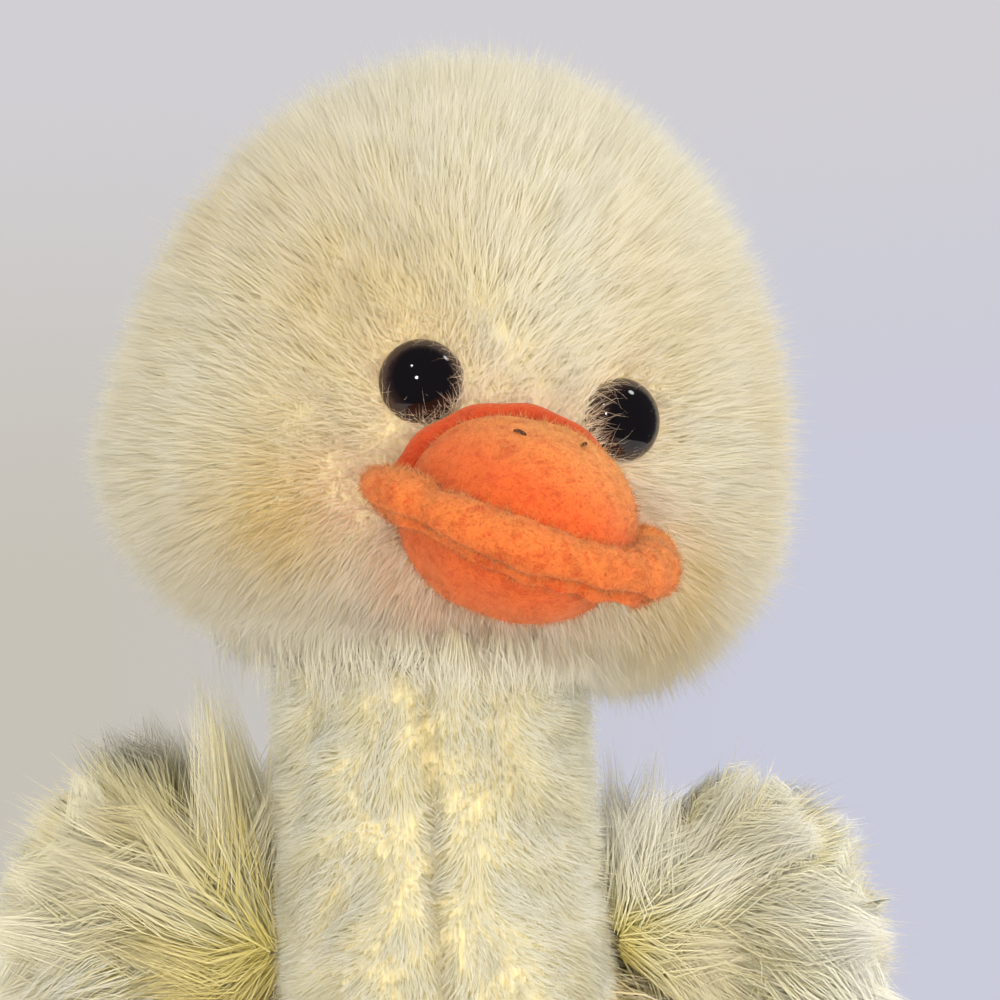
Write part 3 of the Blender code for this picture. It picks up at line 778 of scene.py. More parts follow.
def billNearness(points):
    # Distance outside the bill's outline on the face, below 0 inside it
    local = inHead(points)
    x, z = local[:, 0], local[:, 2] - bill["level"]
    size = np.where(z > 0, bill["upper"], bill["lower"]) + 0.0008
    dome = (np.hypot(x / (bill["halfWidth"] + 0.0008), z / size) - 1) * 0.018
    lip = np.hypot(np.maximum(np.abs(x) - bill["lipHalf"], 0), z) - 0.0046
    return np.where(local[:, 1] < 0, np.minimum(dome, lip), 0.1)


def eyeNearness(points):
    # Distance from the nearer eye's middle
    return np.minimum(*(np.linalg.norm(points - spot, axis=1) for spot, _ in eyeFrames.values()))


def headWeight(points, facing):
    local = inHead(points)
    seen = np.where(local[:, 1] < 0.012, 1.0, 0.52)
    clear = (billNearness(points) > -0.0032) & (eyeNearness(points) > head["eyeClear"])
    neckHole = (np.hypot(points[:, 0], points[:, 1]) < 0.029) & (points[:, 2] < 0.225)
    return seen * clear * ~neckHole


def headGoldAndShade(local):
    # Warm patches: one beyond each end of the lip, painted shade of the lower cheeks there; the rest from a
    # slow field of lumps
    cheek = np.exp(-(((np.abs(local[:, 0]) - 0.035) / 0.011) ** 2) - ((local[:, 2] + 0.001) / 0.011) ** 2)
    temple = np.exp(-(((local[:, 0] + 0.036) / 0.018) ** 2) - ((local[:, 2] - 0.045) / 0.018) ** 2)
    crown = np.clip(1.15 - np.abs(local[:, 2] - 0.035) / 0.045, 0, 1)
    slow = np.clip(0.5 + 0.5 * lumps(local, waveSet(43, 0.040)), 0, 1)
    patches = (0.95 * cheek + 0.30 * temple) * (local[:, 1] < 0)
    return np.clip(patches + 0.30 * slow * crown, 0, 1)


def makeHead():
    def stuffing(around, up):
        return lumpy(headShape(around, up, -head["wadding"] - 0.002), 0.02, 0.0012, 5)

    skin = addSurface("head_skin", headCloth, 96, 60, "head", backing, ("head_cover",))
    ball = addSurface("head_wadding", stuffing, 64, 40, "head", wadding, ("head_stuffing",))
    centre = fromHead(np.array((0.0, -head["front"], bill["level"])))
    coats = (
        # name, sizes, fibres, seed
        ("head_fur_a", headCoat, 49000, 11),
        ("head_fur_b", headCoat, 49000, 12),
        ("head_fur_c", headCoat, 49000, 13),
        ("head_flyaway", headFly, 5000, 14),
    )
    for name, sizes, count, seed in coats:
        spots, facing = scatter(headCloth, count, seed, headWeight)
        local = inHead(spots)
        swirl = slopes(spots, waveSet(40, 0.05))
        low = np.clip((0.0 - local[:, 2]) / 0.02, 0, 1)[:, None]
        flow = unit(spots - centre) + 0.35 * swirl + down * (0.2 + 0.6 * low)
        # Under the jaw the fur leans out from the neck
        fromNeck = spots * flatPart
        close = low * np.clip((0.046 - np.linalg.norm(fromNeck, axis=1)) / 0.010, 0, 1)[:, None]
        flow = avoidEyes(spots, flow * (1 - close) + 0.5 * unit(fromNeck) * close)
        bare = np.clip(billNearness(spots), 0, 1)
        fromEye = np.clip(eyeNearness(spots) - head["eyeClear"], 0, 1)
        near = np.minimum(bare, 1.3 * fromEye)
        right = np.clip((local[:, 0] - 0.025) / 0.03, 0, 1)
        high = np.clip((local[:, 2] - 0.03) / 0.06, 0, 1)
        lengthShare = 0.58 + 0.42 * np.clip(near / 0.022, 0, 1) ** 0.8
        lengthShare = lengthShare + (0.20 + 0.25 * right) * low[:, 0] + 0.25 * right + 0.25 * high
        blush = np.maximum(0.90 * np.exp(-bare / 0.0050), 0.45 * np.exp(-fromEye / 0.0025))
        marks = {"blush": blush, "gold": headGoldAndShade(local)}
        coat(name, spots, facing, flow, sizes, seed, "head", plush, lengthShare, marks)
    makeChin()


def makeChin():
    # Tufts in a ring where the cloth turns in to the neck: they leave it outwards and hang
    rng = np.random.default_rng(16)
    locks = chinRuff["locks"]
    turn = (np.arange(locks) + rng.uniform(-0.3, 0.3, locks)) * fullTurn / locks
    outward = np.stack([np.cos(turn), np.sin(turn), 0 * turn], 1)
    roots = outward * (chinRuff["radius"] + rng.uniform(0, 0.003, locks))[:, None]
    upright, middle = head["turned"][:, 2], fromHead(np.array((0, 0, chinRuff["level"])))
    roots[:, 2] = middle[2] - (roots - middle * flatPart) @ (upright * flatPart) / upright[2]
    heading = unit(-0.10 * outward + down)
    # The higher the jaw lies over the neck's top, the longer they are, and longest in front
    lengths = chinRuff["length"] + 0.95 * (roots[:, 2] - neck["top"] - 0.007)
    lengths = lengths - 0.002 * (1 + np.sin(turn))
    lengths = np.clip(lengths, 0.007, 0.020)
    facing = unit(outward - upright)
    lockCoat("chin_ruff", roots, facing, heading, chinRuff, 17, "head", plush, lengths)


def avoidEyes(spots, flow):
    # Fibres near an eye point away from it
    for spot, _ in eyeFrames.values():
        away = spots - spot
        reach = np.linalg.norm(away, axis=1, keepdims=True)
        flow = flow + 1.2 * unit(away) * np.exp(-(((reach - 0.008) / 0.006) ** 2))
    return flow


def lumpy(points, size, height, seed):
    # Moves each point out from the middle of the piece by a field of lumps
    middle = points.reshape(-1, 3).mean(0)
    return points + unit(points - middle) * height * lumps(points, waveSet(seed, size))[..., None]


makeHead()
print("head ready")


# Eyes: a polished dome on a ridged shank

eye = {
    "radius": 0.0075,
    "dome": 0.005,
    "sink": 0.001,
    "rim": 0.0010,
    "shank": 0.0019,
    "shankLength": 0.012,
    "ridge": 0.0005,
    "ridges": 4,
}


def eyeProfile():
    # Radius and height from the shank's tip to the top of the dome, its rim rounded over
    base = -eye["sink"] - eye["dome"] - eye["rim"]
    tip = base - eye["shankLength"]
    rise = np.linspace(0, 1, 46)
    waves = eye["ridge"] * np.abs(np.sin(rise * math.pi * (eye["ridges"] + 0.5))) ** 3
    shank = np.stack([eye["shank"] + waves, tip + rise * eye["shankLength"]], 1)
    shank[0, 0] *= 0.8
    flange = np.array(((eye["radius"] * 0.94, base), (eye["radius"], base + 0.0003)))
    tilt = np.linspace(0, math.pi / 2, 30)[:-1]
    dome = np.stack([eye["radius"] * np.cos(tilt), base + eye["rim"] + eye["dome"] * np.sin(tilt)], 1)
    return np.vstack([[[0, tip]], shank, flange, dome, [[0, -eye["sink"]]]])


lashes = {
    "count": 150,
    "length": 0.0023,
    "width": 0.000045,
    "lift": 0.0005,
    "start": 0.0079,
    "lean": 1.5,
    "seeds": {"left": 19, "right": 20},
}


def makeLashes(side, spot, facing, sideways, upright):
    # Stray fibres of the fur lie over the dome's rim, most of them on the bill's side
    rng = np.random.default_rng(lashes["seeds"][side])
    count = lashes["count"]
    toBill = fromHead(np.array((0.0, -head["front"], bill["level"] + bill["upper"]))) - spot
    middle = math.atan2(toBill @ upright, toBill @ sideways)
    toward = rng.random(count) < 0.55
    turn = np.where(toward, middle + 0.85 * rng.normal(size=count), rng.uniform(0, fullTurn, count))
    length = lashes["length"] * rng.lognormal(-0.1, 0.5, count) * np.where(toward, 1, 0.45)
    reach = np.linspace(0, 1, 4)
    turns = turn[:, None] + lashes["lean"] * rng.normal(size=count)[:, None] * reach * 0.35
    radius = lashes["start"] - np.minimum(length, 0.006)[:, None] * reach
    over = np.sqrt(np.clip(1 - (radius / eye["radius"]) ** 2, 0, 1))
    lift = lashes["lift"] * (0.4 + rng.random(count)[:, None] * reach)
    height = -eye["sink"] - eye["dome"] * (1 - over) + lift
    flat = radius[..., None] * (np.cos(turns)[..., None] * sideways + np.sin(turns)[..., None] * upright)
    paths = spot + flat + height[..., None] * facing
    outward = unit(np.cos(turn)[:, None] * sideways + np.sin(turn)[:, None] * upright + 1.5 * facing)
    width = lashes["width"] * rng.uniform(0.6, 1.4, count)
    # The fringe is darkened with blush and a little gold: painted shade
    blush = rng.uniform(0.2, 0.8, count)
    marks = {"shadeAndTone": np.full(count, 0.7), "blush": blush, "gold": np.full(count, 0.2)}
    addStrands("eye_fringe_" + side, paths, width, outward, "head", plush, marks)


def makeEyes():
    for side, (spot, facing) in eyeFrames.items():
        sideways = unit(np.cross((0.0, 0.0, 1.0), facing))
        upright = np.cross(facing, sideways)
        profile = eyeProfile()

        def shape(around, along):
            row = np.interp(along, np.linspace(0, 1, len(profile)), np.arange(len(profile)))
            low = np.floor(row).astype(int)
            high = np.minimum(low + 1, len(profile) - 1)
            ring = profile[low] + (row - low)[..., None] * (profile[high] - profile[low])
            turn = (around * fullTurn)[..., None]
            flat = ring[..., :1] * (np.cos(turn) * sideways + np.sin(turn) * upright)
            return spot + flat + ring[..., 1:] * facing

        def rimMask(points, spot=spot, facing=facing):
            off = points - spot
            out = np.linalg.norm(across(off, facing), axis=1)
            return np.clip((out / eye["radius"] - 0.66) / 0.24, 0, 1)

        name, rises, node = "eye_dome_" + side, len(profile) - 1, "eye_" + side
        addSurface(name, shape, 64, rises, "head", eyeGloss, (node,), {"rim": rimMask})
        makeLashes(side, spot, facing, sideways, upright)
        washer = nodes["eye_washer_" + side]
        washer.data.materials.clear()
        washer.data.materials.append(washerPlastic)


makeEyes()
print("eyes ready")


# Bill: two fleece domes with a fat rolled lip between them

billFuzz = {
    "length": 0.0013,
    "spread": 0.3,
    "lie": 35.0,
    "droop": 0.0,
    "frizz": 0.45,
    "tuft": 0.002,
    "pull": 0.0003,
    "lump": 0.006,
    "lumpShare": 0.15,
    "relief": 0.2,
    "width": 0.00012,
    "steps": 2,
}


def fromBill(points):
    # The bill's own frame: its root on the face, pitched down a little
    return fromHead(points @ spin(bill["droop"], "X").T + np.array((0, -bill["root"], bill["level"])))


def paintedLightShare(base, upward, leftward):
    # Painted highlight: how much paler a piece is where the light falls, more towards the top and to the
    # left side
    def values(points):
        local = inHead(points)
        above = upward * (local[:, 2] - bill["level"]) / bill["upper"]
        aside = leftward * local[:, 0] / bill["halfWidth"]
        return np.clip(base + above + aside, 0, 1)

    return values


def billDome(height):
    # Over an oval on the lip's level, an arc up to the dome's pole; its underside closes flat
    def shape(around, along):
        turn = around * fullTurn
        over = np.clip((along - 0.12) / 0.88, 0, 1)
        tilt = over * math.pi / 2
        spread = np.where(along < 0.12, along / 0.12, np.cos(tilt) ** bill["domePower"])
        x = bill["halfWidth"] * spread * np.cos(turn)
        y = bill["reach"] * spread * np.sin(turn)
        z = height * np.sin(tilt)
        dent = lumps(np.stack([x, y, z], -1), waveSet(61, 0.014)) * 0.00022
        return fromBill(np.stack([x, y - dent * spread, z + dent * np.sign(height)], -1))

    return shape


def lipPath(travel):
    # Half an oval round the front, then straight back a little at both ends; and the way out from it
    bend = bill["lipBend"]
    turn = np.clip(travel / bend, -1, 1) * math.pi / 2
    past = np.clip((np.abs(travel) - bend) / (1 - bend), 0, 1)
    x = bill["lipHalf"] * np.sin(turn)
    y = -bill["lipForward"] - bill["lipReach"] * np.cos(turn) + bill["lipTail"] * past
    z = -bill["lipSag"] * np.cos(turn) - bill["lipTip"] * np.sin(turn)
    z = z + bill["lipRaise"] * np.cos(turn) * (1 - np.sin(turn))
    aside = np.where(past > 0, np.sign(travel), np.sin(turn) * bill["lipReach"])
    ahead = np.where(past > 0, 0.0, -np.cos(turn) * bill["lipHalf"])
    return np.stack([x, y, z], -1), unit(np.stack([aside, ahead], -1)), turn, past


def lipShape(around, along):
    # A fat round section carried along that path, its ends rounded off; a stitched edge stands out of its
    # front, with a crease over it and puckers beside it
    travel = (along - 0.5) * 2
    spot, outward, turn, past = lipPath(travel)
    fade = np.sqrt(np.clip(1 - past**2, 0, 1))
    section = around * fullTurn
    seam = bill["seamTurn"] + 0.022 * np.sin(travel * 8) + 0.012 * np.sin(travel * 21 + 1)
    off = (around - seam + 0.5) % 1 - 0.5
    edge = bill["seamRise"] * np.exp(-((off / 0.016) ** 2))
    crease = 0.0010 * np.exp(-(((off - 0.060) / 0.030) ** 2))
    crease = crease + 0.0007 * np.exp(-(((off + 0.055) / 0.030) ** 2))
    pucker = 0.00035 * np.sin(travel * 34 + 2.4 * np.sin(travel * 7)) * np.exp(-((off / 0.13) ** 2))
    rise = (edge - crease + pucker) * fade * np.cos(turn) ** 0.6
    swell = bill["lipSwell"] * np.cos(turn)
    puff = 0.00030 * lumps(spot, waveSet(62, 0.014)) + 0.00022 * lumps(spot, waveSet(63, 0.006))
    deep = (bill["lipDepth"] + rise + puff) * fade * np.cos(section)
    slim = 0.89 + 0.09 * np.sin(turn)
    tall = (bill["lipHeight"] + swell + rise + puff) * slim * fade * np.sin(section)
    x, y = spot[..., 0] + outward[..., 0] * deep, spot[..., 1] + outward[..., 1] * deep
    return fromBill(np.stack([x, y, spot[..., 2] + tall], -1))


def onFace(x, z, sink):
    # The head's surface at a place across it and a level, sunk by so much
    rise = (z - head["cheek"]) / np.where(z > head["cheek"], head["crown"], head["jaw"])
    rest = 1 - np.minimum(rise**2 + (x / head["halfWidth"]) ** 2, 0.9)
    return fromHead(np.stack([x, -head["front"] * np.sqrt(rest) + sink, z], -1))


collar = {"radius": 0.0019, "out": 0.0004, "sink": 0.0024, "from": 196.0, "to": 22.0}


def collarShape(around, along):
    # A round section carried over the upper dome's outline on the face: the sewn edge, sunk among the fur,
    # in a darker fleece that is painted shade of the recess
    turn = np.radians(collar["from"] + (collar["to"] - collar["from"]) * along)
    section = around * fullTurn
    fade = np.sqrt(np.clip(1 - (2 * along - 1) ** 6, 0, 1))
    size = collar["radius"] * (1 + 0.10 * np.sin(turn * 13)) * fade * (1 - 0.25 * np.cos(turn))
    out = collar["out"] + size * np.cos(section)
    x = (bill["halfWidth"] + out) * np.cos(turn)
    z = bill["level"] + (bill["upper"] + out) * np.sin(turn)
    return onFace(x, z, collar["sink"] - size * np.sin(section))


def threadShape(start, end, bulge, width):
    # A thread from one place to another, bowed out of the cloth, its section round
    def shape(around, along):
        reach, turn = np.clip(along, 0, 1)[..., None], (around * fullTurn)[..., None]
        way = unit(end - start)
        side = unit(np.cross(way, bulge))
        size = width / 2 * np.sqrt(np.clip(1 - (2 * reach - 1) ** 8, 0, 1))
        middle = start + (end - start) * reach + bulge * np.sin(reach * math.pi)
        return middle + size * (np.cos(turn) * side + np.sin(turn) * unit(bulge))

    return shape


nostrils = {"side": 0.0057, "tilt": 62.0, "length": 0.0016, "width": 0.0006, "lift": 0.0004}
# A stitch at each corner: how far in from the lip's end, then how far forward and up
cornerStitch = {
    "ends": ((0.0042, -0.0035, 0.0043), (0.0068, -0.0050, 0.0046)),
    "bow": (0, -0.0007, 0.0004),
    "width": 0.0006,
}


def onUpperDome(x, tilt):
    # The upper dome's surface in the bill's frame, x across it and tilt degrees up from its rim in front
    tilt = math.radians(tilt)
    spread = math.cos(tilt) ** bill["domePower"]
    turn = math.acos(x / (bill["halfWidth"] * spread))
    y = -bill["reach"] * spread * math.sin(turn)
    return fromBill(np.array((x, y, bill["upper"] * math.sin(tilt))))


def makeBill():
    upper, lower = billDome(bill["upper"]), billDome(-bill["lower"])
    pieces = (
        # name, shape, steps round and along, node, fibres, seed, painted highlight
        ("bill_upper_dome", upper, 96, 56, "bill_upper", 8000, 71, paintedLightShare(-0.25, 1.2, 0.55)),
        ("bill_lower_dome", lower, 96, 48, "bill_lower", 7000, 72, paintedLightShare(0.0, 0.0, 0.0)),
        ("bill_roll", lipShape, 84, 180, "bill_lip", 13000, 73, paintedLightShare(0.50, 0.6, 0.10)),
    )
    for name, shape, rounds, rises, node, count, seed, paintedHighlight in pieces:
        marks = {"paintedHighlight": paintedHighlight}
        piece = addSurface(name, shape, rounds, rises, "head", fleece, (node,), marks)
        spots, facing = scatter(shape, count, seed)
        swirl = slopes(spots, waveSet(seed, 0.008))
        marks = {"paintedHighlight": paintedHighlight(spots)}
        coat(name + "_fuzz", spots, facing, swirl, billFuzz, seed, "head", fleeceFuzz, 1.0, marks)
    # The sewn edge in the darker fleece: painted shade of the recess round the upper dome
    addSurface("bill_collar", collarShape, 24, 120, "head", fleeceInShade)
    for side, sign in sides.items():
        low = onUpperDome(sign * (nostrils["side"] - nostrils["length"] / 2), nostrils["tilt"])
        high = onUpperDome(sign * (nostrils["side"] + nostrils["length"] / 2), nostrils["tilt"] + 2)
        out = unit((low + high) / 2 - fromBill(np.zeros(3))) * nostrils["lift"]
        stitch = threadShape(low, high, out, nostrils["width"])
        addSurface("nostril_" + side, stitch, 12, 16, "head", brownThread)
        ends = [np.array((sign * (bill["lipHalf"] - x), y, z)) for x, y, z in cornerStitch["ends"]]
        bow = np.array(cornerStitch["bow"])
        tie = threadShape(fromBill(ends[0]), fromBill(ends[1]), bow, cornerStitch["width"])
        addSurface("corner_stitch_" + side, tie, 12, 16, "head", brownThread)


makeBill()
print("bill ready")


# Neck: two panels of short pile that dip into a seam in front and behind

neckCoat = {
    "length": 0.0050,
    "spread": 0.12,
    "lie": 30.0,
    "droop": 0.1,
    "frizz": 0.13,
    "tuft": 0.010,
    "pull": 0.0008,
    "lump": 0.016,
    "lumpShare": 0.08,
    "relief": 0.05,
    "width": 0.00029,
    "steps": 2,
    "count": 49000,
}


def neckShape(around, up, grow=0.0):
    # A slow taper, its ends rounded over; at the front and back the radius dips into a seam
    turn = around * fullTurn
    height = neck["low"] + (neck["high"] - neck["low"]) * up
    share = (height - neck["base"]) / (neck["top"] - neck["base"])
    radius = neck["baseRadius"] + share * (neck["topRadius"] - neck["baseRadius"]) + grow
    fromFront, fromBack = np.sin(turn / 2 + math.pi / 4), np.sin(turn / 2 - math.pi / 4)
    toSeam = radius * np.minimum(np.abs(fromFront), np.abs(fromBack)) * 2
    radius = radius - neck["seamDepth"] * np.exp(-((toSeam / neck["seamWidth"]) ** 2))
    cap = np.sqrt(np.clip(1 - np.clip(np.abs(up - 0.5) * 2 - 0.9, 0, 1) ** 2 * 100, 0, 1))
    radius = radius * cap
    return np.stack([radius * np.cos(turn), radius * np.sin(turn), height], -1)


def neckCloth(around, up):
    # The cloth under the pile
    return neckShape(around, up, -neck["pile"])


def neckWeight(points, facing):
    return np.where(points[:, 1] < 0.008, 1.0, 0.6)


def makeNeck():
    def stuffing(around, up):
        return neckShape(around, up, -neck["wadding"])

    panels = ("neck_panel_left", "neck_panel_right")
    skin = addSurface("neck_skin", neckCloth, 96, 60, "neck", backing, panels)
    core = addSurface("neck_wadding", stuffing, 48, 30, "neck", wadding, ("neck_stuffing",))
    seed = 21
    spots, facing = scatter(
        lambda u, v: neckCloth(u, v * 0.98 + 0.01), neckCoat["count"], seed, neckWeight
    )
    flow = down + 0.8 * slopes(spots, waveSet(41, 0.02))
    turn = np.arctan2(spots[:, 1], spots[:, 0])
    toSeam = np.minimum(np.abs(turn + math.pi / 2), np.abs(turn - math.pi / 2)) * neck["topRadius"]
    lengthShare = 0.60 + 0.40 * np.clip(toSeam / 0.004, 0, 1)
    slow = np.clip(0.45 + 0.5 * lumps(spots, waveSet(44, 0.035)), 0, 1)
    gold = np.maximum(0.09 * slow, 0.62 * np.exp(-((toSeam / 0.0022) ** 2)))
    marks = goldOnly(gold)
    coat("neck_fur", spots, facing, flow, neckCoat, seed, "neck", neckPile, lengthShare, marks)


makeNeck()
print("neck ready")


# Body: a pear that leans back at its shoulders

bodySizes = {
    "height": 0.178,
    "width": 0.150,
    "depth": 0.140,
    "lift": 0.001,
    "pile": 0.009,
    "wadding": 0.0125,
    # height, half width, half depth and set-back, as shares
    "shares": (
        (0.000, 0.693, 0.700, 0.000),
        (0.020, 0.800, 0.800, 0.000),
        (0.056, 0.893, 0.893, 0.000),
        (0.135, 0.973, 0.971, 0.014),
        (0.253, 1.000, 1.000, 0.029),
        (0.348, 0.993, 1.000, 0.043),
        (0.483, 0.933, 0.950, 0.071),
        (0.607, 0.833, 0.857, 0.114),
        (0.719, 0.713, 0.757, 0.171),
        (0.820, 0.607, 0.657, 0.257),
        (0.899, 0.527, 0.557, 0.343),
        (0.955, 0.413, 0.414, 0.400),
        (0.989, 0.253, 0.243, 0.443),
        (1.000, 0.000, 0.000, 0.450),
    ),
}
bodyCoat = {
    "length": 0.0165,
    "spread": 0.18,
    "lie": 55.0,
    "droop": 0.35,
    "frizz": 0.13,
    "tuft": 0.011,
    "pull": 0.0034,
    "lump": 0.030,
    "lumpShare": 0.10,
    "relief": 0.30,
    "width": 0.00050,
    "steps": 3,
}
bodyUnder = {**bodyCoat, "length": 0.0125, "steps": 2, "width": 0.00044, "lie": 47.0, "pull": 0.0022}


def bodyShape(around, up, grow=0.0):
    # Ovals stacked up the pear, their sizes read from a smooth curve through the shares
    turn = around * fullTurn
    share = 0.5 - 0.5 * np.cos(math.pi * up)
    row = curveThrough(bodySizes["shares"], share)
    close = np.clip(np.sin(math.pi * up) / 0.12, 0, 1)
    low = np.where(up < 0.1, np.sqrt(np.clip(up / 0.1, 0, 1)), 1.0)
    wide = np.maximum(row[..., 0] * bodySizes["width"] / 2 + grow * close, 0) * low
    deep = np.maximum(row[..., 1] * bodySizes["depth"] / 2 + grow * close, 0) * low
    back = row[..., 2] * bodySizes["depth"] / 2
    height = bodySizes["lift"] - grow + share * (bodySizes["height"] - bodySizes["lift"] + 2 * grow)
    return np.stack([wide * np.cos(turn), back + deep * np.sin(turn), height + 0 * turn], -1)


def bodyCloth(around, up):
    # The cloth under the pile
    return bodyShape(around, up, -bodySizes["pile"])


def bodyWeight(points, facing):
    underNeck = np.hypot(points[:, 0], points[:, 1]) < 0.031
    return (facing[:, 2] > -0.75) * ~(underNeck & (points[:, 2] > 0.13)) * (points[:, 2] > 0.008)


def makeBody():
    def stuffing(around, up):
        return lumpy(bodyShape(around, up, -bodySizes["wadding"]), 0.025, 0.0012, 6)

    skin = addSurface("body_skin", bodyCloth, 96, 70, "body", backing, ("body_cover",))
    core = addSurface("body_wadding", stuffing, 64, 44, "body", wadding, ("body_stuffing",))
    # name, sizes, fibres, seed
    coats = (("body_fur", bodyCoat, 14000, 31), ("body_underfur", bodyUnder, 32000, 32))
    for name, sizes, count, seed in coats:
        spots, facing = scatter(bodyCloth, count, seed, bodyWeight)
        swirl = slopes(spots, waveSet(42, 0.045))
        out = unit(spots * flatPart - np.array((0, 0.02, 0)))
        high = np.clip((spots[:, 2] - 0.145) / 0.03, 0, 1)[:, None]
        flow = down * (1 - high) + out * (0.15 + 0.6 * high) + 0.35 * swirl
        foot = np.clip((spots[:, 2] - 0.003) / 0.02, 0.25, 1)
        foot = foot + 0.7 * high[:, 0] * (spots[:, 1] > 0)
        slow = np.clip(0.45 + 0.5 * lumps(spots, waveSet(45, 0.045)), 0, 1)
        marks = goldOnly(0.4 * slow)
        coat(name, spots, facing, flow, sizes, seed, "body", plush, foot, marks)


makeBody()
print("body ready")


# Seat panel and the bag of pellets inside

seat = {"thickness": 0.006, "rimShare": 0.960, "bagWidth": 0.096, "bagDepth": 0.090, "bagHeight": 0.030}


def seatShape(around, up):
    # A flat oval cushion: its edge is rounded and pulled in a little
    turn = around * fullTurn
    wide = bodySizes["shares"][0][1] * bodySizes["width"] / 2 * seat["rimShare"]
    deep = bodySizes["shares"][0][2] * bodySizes["depth"] / 2 * seat["rimShare"]
    ring = np.clip(np.minimum(up, 1 - up) / 0.4, 0, 1)
    edge = np.clip((up - 0.4) / 0.2, 0, 1)
    height = np.where(up < 0.4, 0, np.where(up > 0.6, seat["thickness"], seat["thickness"] * edge))
    bulge = 0.0012 * np.sin(edge * math.pi)
    x, y = (wide * ring + bulge) * np.cos(turn), (deep * ring + bulge) * np.sin(turn)
    return np.stack([x, y, height + 0 * turn], -1)


def bagShape(around, up):
    # A slack cushion: fuller at its middle height, a pulled-in seam round its waist
    turn, tilt = around * fullTurn, (up - 0.5) * math.pi
    spread = np.maximum(np.cos(tilt), 0) ** 0.6 * (1 - 0.02 * np.exp(-((tilt / 0.06) ** 2)))
    height = seat["thickness"] + 0.0006 + (0.5 + 0.5 * np.sin(tilt)) * seat["bagHeight"]
    x = seat["bagWidth"] / 2 * spread * np.cos(turn)
    y = seat["bagDepth"] / 2 * spread * np.sin(turn)
    points = np.stack([x, y, height], -1)
    dimple = lumps(points, waveSet(51, 0.012)) * 0.0005 * np.sin(up * math.pi)
    return points + dimple[..., None] * np.array((0, 0, 1.0))


def makeSeat():
    panel = addSurface("seat_cloth", seatShape, 96, 50, "body", seatCloth, ("seat_panel",))
    bag = addSurface("pellet_sack", bagShape, 64, 36, "body", bagCloth, ("pellet_bag",))


makeSeat()
print("seat ready")


# Wings: fan-shaped pads under long locks

wing = {
    "reach": 0.054,
    "halfHeight": 0.042,
    "halfThickness": 0.016,
    "fall": 95.0,
    "fan": 70.0,
    "lift": {"left": 0.0, "right": 11.0},
    "pile": 0.013,  # from the tips of the locks in to the pad, at its edges
    "facePile": 0.008,  # and on its faces
    "fanFrom": (-0.0095, 0, 0.005),  # everything fans out from here, beside the joint, outwards first
    # How far the locks reach from where they fan out, by degrees over the way out
    "reaches": {
        "left": (
            *((-90, 0.050), (-50, 0.055), (-18, 0.060), (0, 0.053)),
            *((21, 0.048), (40, 0.041), (56, 0.032), (80, 0.030)),
        ),
        "right": (
            *((-90, 0.050), (-50, 0.055), (-18, 0.058), (0, 0.059)),
            *((15, 0.056), (35, 0.053), (60, 0.056), (90, 0.056)),
        ),
    },
    # reach, half height and half thickness, as shares
    "shares": (
        (0.00, 0.42, 0.19),
        (0.10, 0.52, 0.22),
        (0.20, 0.70, 0.44),
        (0.32, 0.89, 0.75),
        (0.48, 1.00, 0.97),
        (0.64, 1.00, 1.00),
        (0.79, 0.89, 0.88),
        (0.91, 0.64, 0.64),
        (1.00, 0.00, 0.00),
    ),
}
wingLocks = {
    "locks": 150,
    "strands": 130,
    "steps": 3,
    "length": 0.026,
    "shortest": 0.009,
    "spread": 0.14,
    "girth": 0.0058,
    "width": 0.00029,
    "curl": 0.0046,
    "frizz": 0.0009,
    "droop": 0.30,
    "close": 0.75,
    "relief": 0.55,
    "ownShape": 0.35,
    "leave": 0.85,
    "gold": {"left": 0.0, "right": 0.20},
    "goldReach": {"left": 0.022, "right": 0.028},
    "seeds": {"left": 81, "right": 91},
}
wingFan = {
    **wingLocks,
    "locks": 34,
    "strands": 90,
    "from": -58.0,  # degrees over the way out, on both faces of the wing
    "to": 96.0,
    "out": 0.002,
    "girth": 0.0054,
    "close": 0.55,
    "leave": 0.20,
    "droop": 0.05,
    "rootGold": {"left": 0.55, "right": 0.72},
}
wingUnder = {
    **bodyCoat,
    "length": 0.013,
    "width": 0.00040,
    "steps": 2,
    "lie": 48.0,
    "tuft": 0.009,
    "droop": 0.15,
    "count": 11000,
    "gold": 0.55,
    "behind": 0.55,  # the share of their length behind, so that they don't show over the edge
}


def wingShape(side, pile=0.0, facePile=0.0):
    # Ovals carried out along an arc that falls, each leaning further over, their sizes read from a curve
    sign = sides[side]
    joint = joints["wing_" + side + "_swing"]
    pivot = np.array(joint["pos_m"])
    slant = math.degrees(math.atan2(abs(joint["axis"][0]), joint["axis"][2]))
    lift = wing["lift"][side]
    first, drop = math.radians(lift), math.radians(wing["fall"])
    drawnIn = 1 - pile / wing["reach"] * 0.8

    def shape(around, along):
        share = (0.5 - 0.5 * np.cos(math.pi * along)) * drawnIn
        row = curveThrough(wing["shares"], np.clip(share / drawnIn, 0, 1))
        close = np.clip(np.sin(math.pi * along) / 0.2, 0, 1)
        low = np.sqrt(np.clip(along / 0.08, 0, 1))
        fall = first - drop * share
        x = wing["reach"] * (math.sin(first) - np.sin(fall)) / drop
        z = wing["reach"] * (np.cos(fall) - math.cos(first)) / drop
        lean = np.radians((wing["fan"] - lift) * share)
        turn = around * fullTurn
        tall = np.maximum(wing["halfHeight"] * row[..., 0] - pile * close, 0) * low * np.cos(turn)
        thick = np.maximum(wing["halfThickness"] * row[..., 1] - facePile * close, 0.0004)
        thick = thick * low * np.sin(turn)
        local = np.stack([sign * (x + tall * np.sin(lean)), thick, z + tall * np.cos(lean)], -1)
        return local @ spin(-sign * slant, "Y").T + pivot

    return shape


